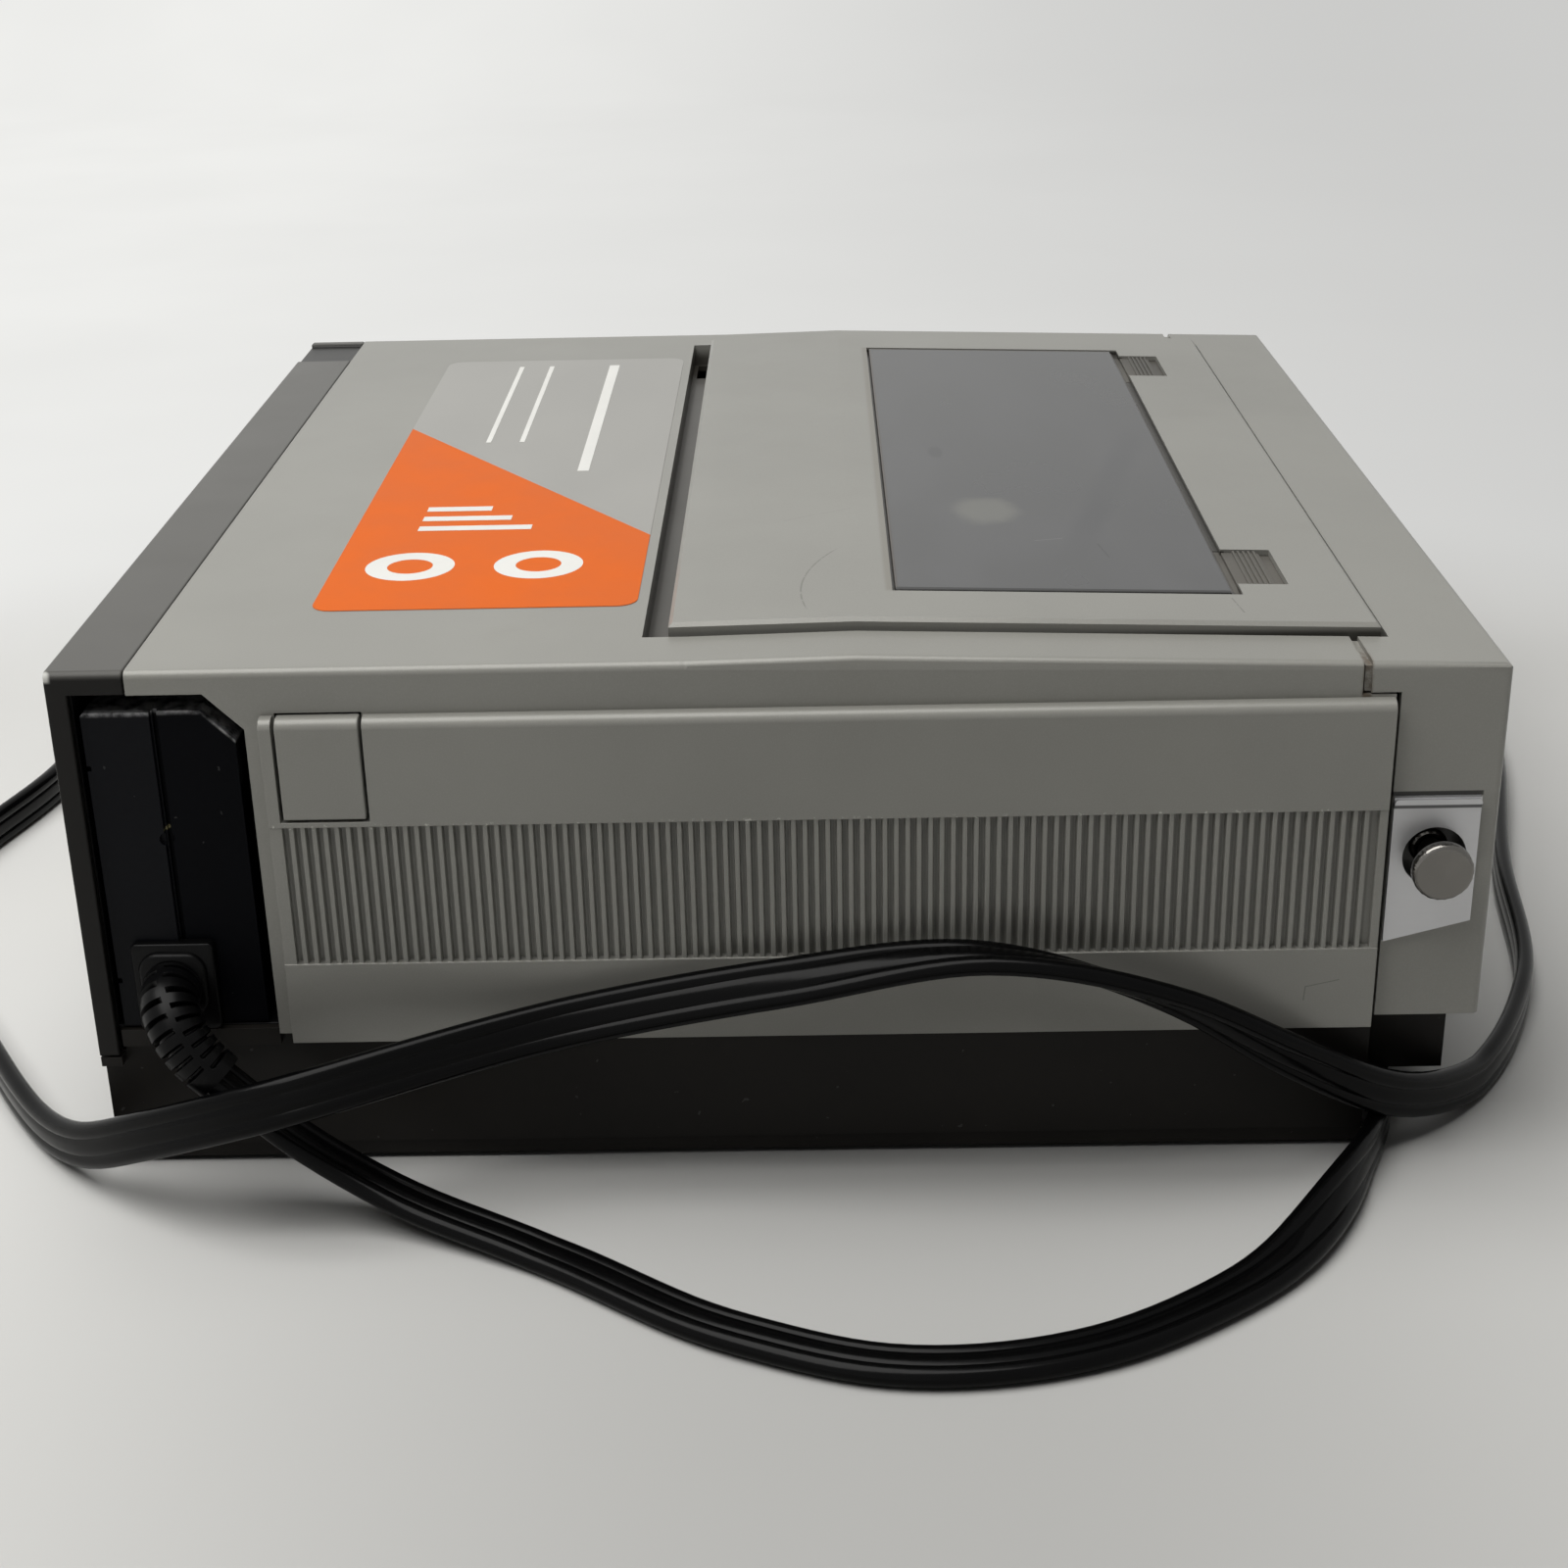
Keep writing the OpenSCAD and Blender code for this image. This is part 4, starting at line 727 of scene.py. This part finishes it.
def make_boot():
    """The strain relief: slots on both sides of a spine, half a pitch out of step."""
    sides = 60
    points = along(BOOT_ROUTE, BOOT_GAP)
    rings = []
    for i, ((place, heading), point) in enumerate(zip(frames(points), points)):
        out = Vector(BOOT_SIDE).cross(heading).normalized()
        side = heading.cross(out)
        ring = []
        for k in range(sides):
            angle = 2 * math.pi * k / sides
            step = (i + (PITCH_RINGS // 2 if math.cos(angle) < 0 else 0)) % PITCH_RINGS
            slotted = step < SLOT_RINGS and abs(math.cos(angle)) > 0.17 and 3 < i < len(points) - 7
            radius = point[3] - (SLOT_DEEP if slotted else 0)
            ring.append(place + (side * math.cos(angle) + out * math.sin(angle)) * (radius * MM))
        rings.append(ring)
    boot = tube("boot", rings, "boot", "power_pack")
    bevel = boot.modifiers.new("rounded edges", "BEVEL")
    bevel.width = 0.08 * MM
    bevel.limit_method = "ANGLE"
    bevel.angle_limit = math.radians(50)
    return boot


def rounded_slab(name, centre, size, radius, crown, paint, body):
    """A slab that faces -X, with round corners and a crowned face. Sizes in millimetres."""
    deep, wide, high = size
    profile = []
    for step in range(32):
        angle = 2 * math.pi * step / 32
        y = (wide / 2 - radius) * (1 if math.cos(angle) > 0 else -1) + radius * math.cos(angle)
        z = (high / 2 - radius) * (1 if math.sin(angle) > 0 else -1) + radius * math.sin(angle)
        profile.append((y, z))
    rings = []
    for depth, shrink in ((0, 0), (deep - crown, 0), (deep - crown * 0.3, crown * 0.35), (deep, crown)):
        rings.append([centre + Vector((-depth * MM, y * (1 - 2 * shrink / wide) * MM,
                                       z * (1 - 2 * shrink / high) * MM)) for y, z in profile])
    return tube(name, rings, paint, body)


def make_boot_flange():
    """The plate of the boot, let into both halves of the adaptor, and its raised shoulder."""
    rounded_slab("boot_flange", row(-129.5, 16.7, 40.8), (2.4, 15.8, 18.2), 1.2, 0.4, "boot", "power_pack")
    rounded_slab("boot_shoulder", row(-131.8, 16.5, 41.6), (1.3, 13, 13.4), 4, 0.8, "boot", "power_pack")


def make_plug():
    plug = softened("mains_plug", "lead", 0.9, 3)
    plug.name = "plug_body"
    pins = softened("plug_pins", "brass", 0.2)
    pins.name = "plug_blades"


make_plug()
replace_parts(make_boot(), "strain_relief")
make_boot_flange()
make_lead()


# Case

softened("top_cover", "cover", 0.6, 3)
softened("front_frame", "front", 0.6, 3)
softened("rear_frame", "rear", 0.5)
softened("left_side_panel", "panel", 0.18, 2, 25)
softened("right_side_panel", "panel", 0.18, 2, 25)
softened("battery_eject_button", "button", 0.35)
softened("base_tray", "base", 0.4)
softened("battery_bay", "bay", 0.3)
softened("adaptor_rear_half", "adaptor", 0.9, 3)
softened("adaptor_front_half", "adaptor_front", 0.9, 3)
softened("left_strap_plate", "plate", 0.25)
softened("right_strap_plate", "plate", 0.25)
softened("left_strap_stud", "stud", 0.35, 3)
softened("right_strap_stud", "stud", 0.35, 3)
softened("cassette_lid", "lid", 0.6, 3)
softened("lid_window", "window", 0.3)
softened("left_window_catch", "catch", 0.12)
softened("right_window_catch", "catch", 0.12)
for key in ("power_key", "eject_key", "rewind_key", "stop_key", "play_key", "forward_key", "pause_key"):
    softened(key, "key", 0.35, 3)
softened("record_key", "red", 0.35, 3)
softened("tracking_knob", "key", 0.2)
softened("connector_panel", "bay", 0.3)
softened("phono_jacks", "stud", 0.15)
softened("display_window", "display", 0.25)
softened("cassette_holder", "steel", 0.15)

PLAIN = {
    "rubber_feet": "rubber", "case_screws": "steel", "battery_contacts": "brass",
    "battery_latch": "steel", "holder_shaft": "steel", "hinge_brackets": "steel",
    "chassis_plate": "steel", "main_circuit_board": "board", "lower_drum": "alloy",
    "upper_drum": "alloy", "capstan_flywheel": "steel", "capstan_motor": "steel",
    "capstan_pulley": "brass", "capstan_belt": "rubber", "supply_reel_table": "reel",
    "takeup_reel_table": "reel", "reel_idler": "rubber", "pinch_arm": "steel",
    "pinch_roller": "rubber", "supply_guide": "steel", "takeup_guide": "steel",
    "tape_heads": "alloy", "guide_posts": "steel"}
for name, paint in PLAIN.items():
    nodes[name].data.materials.clear()
    nodes[name].data.materials.append(paints[paint])


# Sticker on the cover behind the lid, with a design of plain rings and bars

STICKER_X = (-100.4, 103)
STICKER_S = (42.5, 105.5)
STICKER_CORNER = 4
CUT_REAR_X = 34
CUT_FRONT_X = -55.4
FILM_T = 0.12
ORANGE_T = 0.14


def sticker_outline(low_x, high_x):
    """Round-cornered outline of the sticker, cut by the slanted line on one side."""
    points = []
    for cx, cs, start in ((0, 0, 180), (1, 0, 270), (1, 1, 0), (0, 1, 90)):
        x = STICKER_X[cx] + STICKER_CORNER * (1 - 2 * cx)
        s = STICKER_S[cs] + STICKER_CORNER * (1 - 2 * cs)
        for step in range(7):
            angle = math.radians(start + 15 * step)
            points.append((x + STICKER_CORNER * math.cos(angle), s + STICKER_CORNER * math.sin(angle)))
    return points


def cut_x(s):
    return CUT_REAR_X + (CUT_FRONT_X - CUT_REAR_X) * (s - STICKER_S[0]) / (STICKER_S[1] - STICKER_S[0])


def make_sticker():
    outline = sticker_outline(*STICKER_X)
    near = [p for p in outline if p[0] < cut_x(p[1])]
    far = [p for p in outline if p[0] >= cut_x(p[1])]
    cut = [(cut_x(STICKER_S[0]), STICKER_S[0]), (cut_x(STICKER_S[1]), STICKER_S[1])]
    middle = lambda ps: (sum(p[0] for p in ps) / len(ps), sum(p[1] for p in ps) / len(ps))
    for name, side, thick, paint in (("sticker_orange", near, ORANGE_T, "orange"),
                                     ("sticker_film", far, FILM_T, "film")):
        ring = side + cut
        mid = middle(ring)
        ring.sort(key=lambda p: math.atan2(p[1] - mid[1], p[0] - mid[0]))
        strip(name, [row(x, s, REAR_H) for x, s in ring], thick, paint, "deck")


def make_ring(name, centre, outer, inner, height, paint):
    """A flat white ring printed on the sticker."""
    shape = bmesh.new()
    rows = []
    for radius in (inner, outer):
        rows.append([shape.verts.new(row(centre[0] + radius * math.cos(2 * math.pi * k / 48),
                                         centre[1] + radius * math.sin(2 * math.pi * k / 48), height))
                     for k in range(48)])
    for k in range(48):
        shape.faces.new((rows[0][k], rows[0][(k + 1) % 48], rows[1][(k + 1) % 48], rows[1][k]))
    bmesh.ops.recalc_face_normals(shape, faces=shape.faces)
    mesh = bpy.data.meshes.new(name)
    shape.to_mesh(mesh)
    shape.free()
    return new_piece(name, mesh, paint, "deck")


def make_bar(name, x, s, height, paint):
    corners = [row(x[0], s[0], height), row(x[1], s[0], height), row(x[1], s[1], height), row(x[0], s[1], height)]
    return strip(name, corners, 0.03, paint, "deck")


make_sticker()
PRINT_Z = REAR_H + ORANGE_T + 0.02
for i, s in enumerate((58, 84)):
    make_ring(f"print_ring_{i}", (-74, s), 9, 4.6, PRINT_Z, "white")
for i, x in enumerate((-50, -43, -36)):
    make_bar(f"print_bar_{i}", (x, x + 3.2), (56, 80 - 5 * i), PRINT_Z, "white")
for i, s in enumerate((62, 70, 86)):
    make_bar(f"print_line_{i}", (20 if i < 2 else -6, 96), (s, s + (1.2, 1.2, 2.6)[i]), REAR_H + FILM_T + 0.02, "white")


# Table, backdrop and light

def table_paint():
    """Pale cloth, with painted shade in a broad band along X through the machine's place. Far off, where it is seen and
    mirrored, it glows with painted light that is brighter towards +Y.
    """
    paint = Paint("table_cloth")
    soft = paint.noise(0.004, 3.0)
    worn = paint.noise(0.02, 5.0, 0.6)
    # Painted shade: the cloth is darker in a broad band along X through the machine's place, paler to either side.
    base = paint.mix(abs(paint.y + 15).rise(10, 250), (0.47, 0.47, 0.46), (0.76, 0.76, 0.745))
    base = paint.mix(soft.rise(0.3, 0.75) * 0.2, base, (0.5, 0.5, 0.49))
    cloth = paint.add("ShaderNodeBsdfPrincipled", {},
                      {"Base Color": base, "Roughness": worn * 0.1 + 0.5, "Specular IOR Level": 0.3})
    # Painted light: the far cloth glows, brighter towards +Y than towards -Y.
    light = paint.mix(paint.y.rise(-500, 500), (0.6, 0.6, 0.59), (0.87, 0.87, 0.85))
    light = paint.mix(soft.rise(0.3, 0.75) * 0.1, light, (0.55, 0.55, 0.54))
    glow = paint.add("ShaderNodeEmission", {}, {"Color": light, "Strength": 1.0})
    behind = (paint.x + abs(paint.y) * 0.5).rise(230, 400)
    far = paint.seen() * behind.at_least(paint.disc(paint.x, paint.y, (0, 0)).rise(420, 800))
    paint.end("ShaderNodeOutputMaterial", paint.add("ShaderNodeMixShader", {}, {0: far, 1: cloth, 2: glow}))
    return paint.material


def make_stage():
    """A table top that curves up into a backdrop behind the machine."""
    shape = bmesh.new()
    profile = [(-7, 0), (1.4, 0)]
    for step in range(1, 13):
        angle = math.radians(90 * step / 12)
        profile.append((1.4 + 0.3 * math.sin(angle), 0.3 * (1 - math.cos(angle))))
    profile.append((1.7, 2.2))
    rows = [[shape.verts.new((x, y, z - 0.0001)) for x, z in profile] for y in (-7, 7)]
    for k in range(len(profile) - 1):
        face = shape.faces.new((rows[0][k], rows[0][k + 1], rows[1][k + 1], rows[1][k]))
        face.smooth = True
    bmesh.ops.recalc_face_normals(shape, faces=shape.faces)
    mesh = bpy.data.meshes.new("table")
    shape.to_mesh(mesh)
    shape.free()
    table = bpy.data.objects.new("table", mesh)
    scene.collection.objects.link(table)
    table.data.materials.append(table_paint())


def area_light(name, place, aim, size, power, colour=(1, 1, 1)):
    data = bpy.data.lights.new(name, "AREA")
    data.shape = "RECTANGLE"
    data.size, data.size_y = size
    data.energy = power
    data.color = colour
    lamp = bpy.data.objects.new(name, data)
    scene.collection.objects.link(lamp)
    lamp.location = place
    lamp.rotation_euler = (Vector(aim) - Vector(place)).to_track_quat("-Z", "Y").to_euler()


def make_light():
    world = bpy.data.worlds.new("room")
    scene.world = world
    world.use_nodes = True
    room = Shading(world.node_tree)
    dim = room.add("ShaderNodeBackground", {}, {"Color": (1.0, 0.995, 0.98), "Strength": 0.06})
    grey = room.add("ShaderNodeBackground", {}, {"Color": (1.0, 1.0, 0.985), "Strength": 0.6})
    pale = room.add("ShaderNodeBackground", {}, {"Color": (1.0, 1.0, 0.985), "Strength": 0.86})
    heading = room.add("ShaderNodeSeparateXYZ", {}, {0: room.add("ShaderNodeTexCoord", output="Generated")}, "Y")
    pale = room.add("ShaderNodeMixShader", {}, {0: heading.rise(-0.3, 0.3), 1: grey, 2: pale})
    room.end("ShaderNodeOutputWorld", room.add("ShaderNodeMixShader", {}, {0: room.seen(0.78), 1: dim, 2: pale}))
    area_light("ceiling_light", (-0.2, 0.32, 1.05), (-0.05, 0.05, 0), (0.95, 1.1), 14.9, (1, 0.99, 0.97))


make_stage()
make_light()
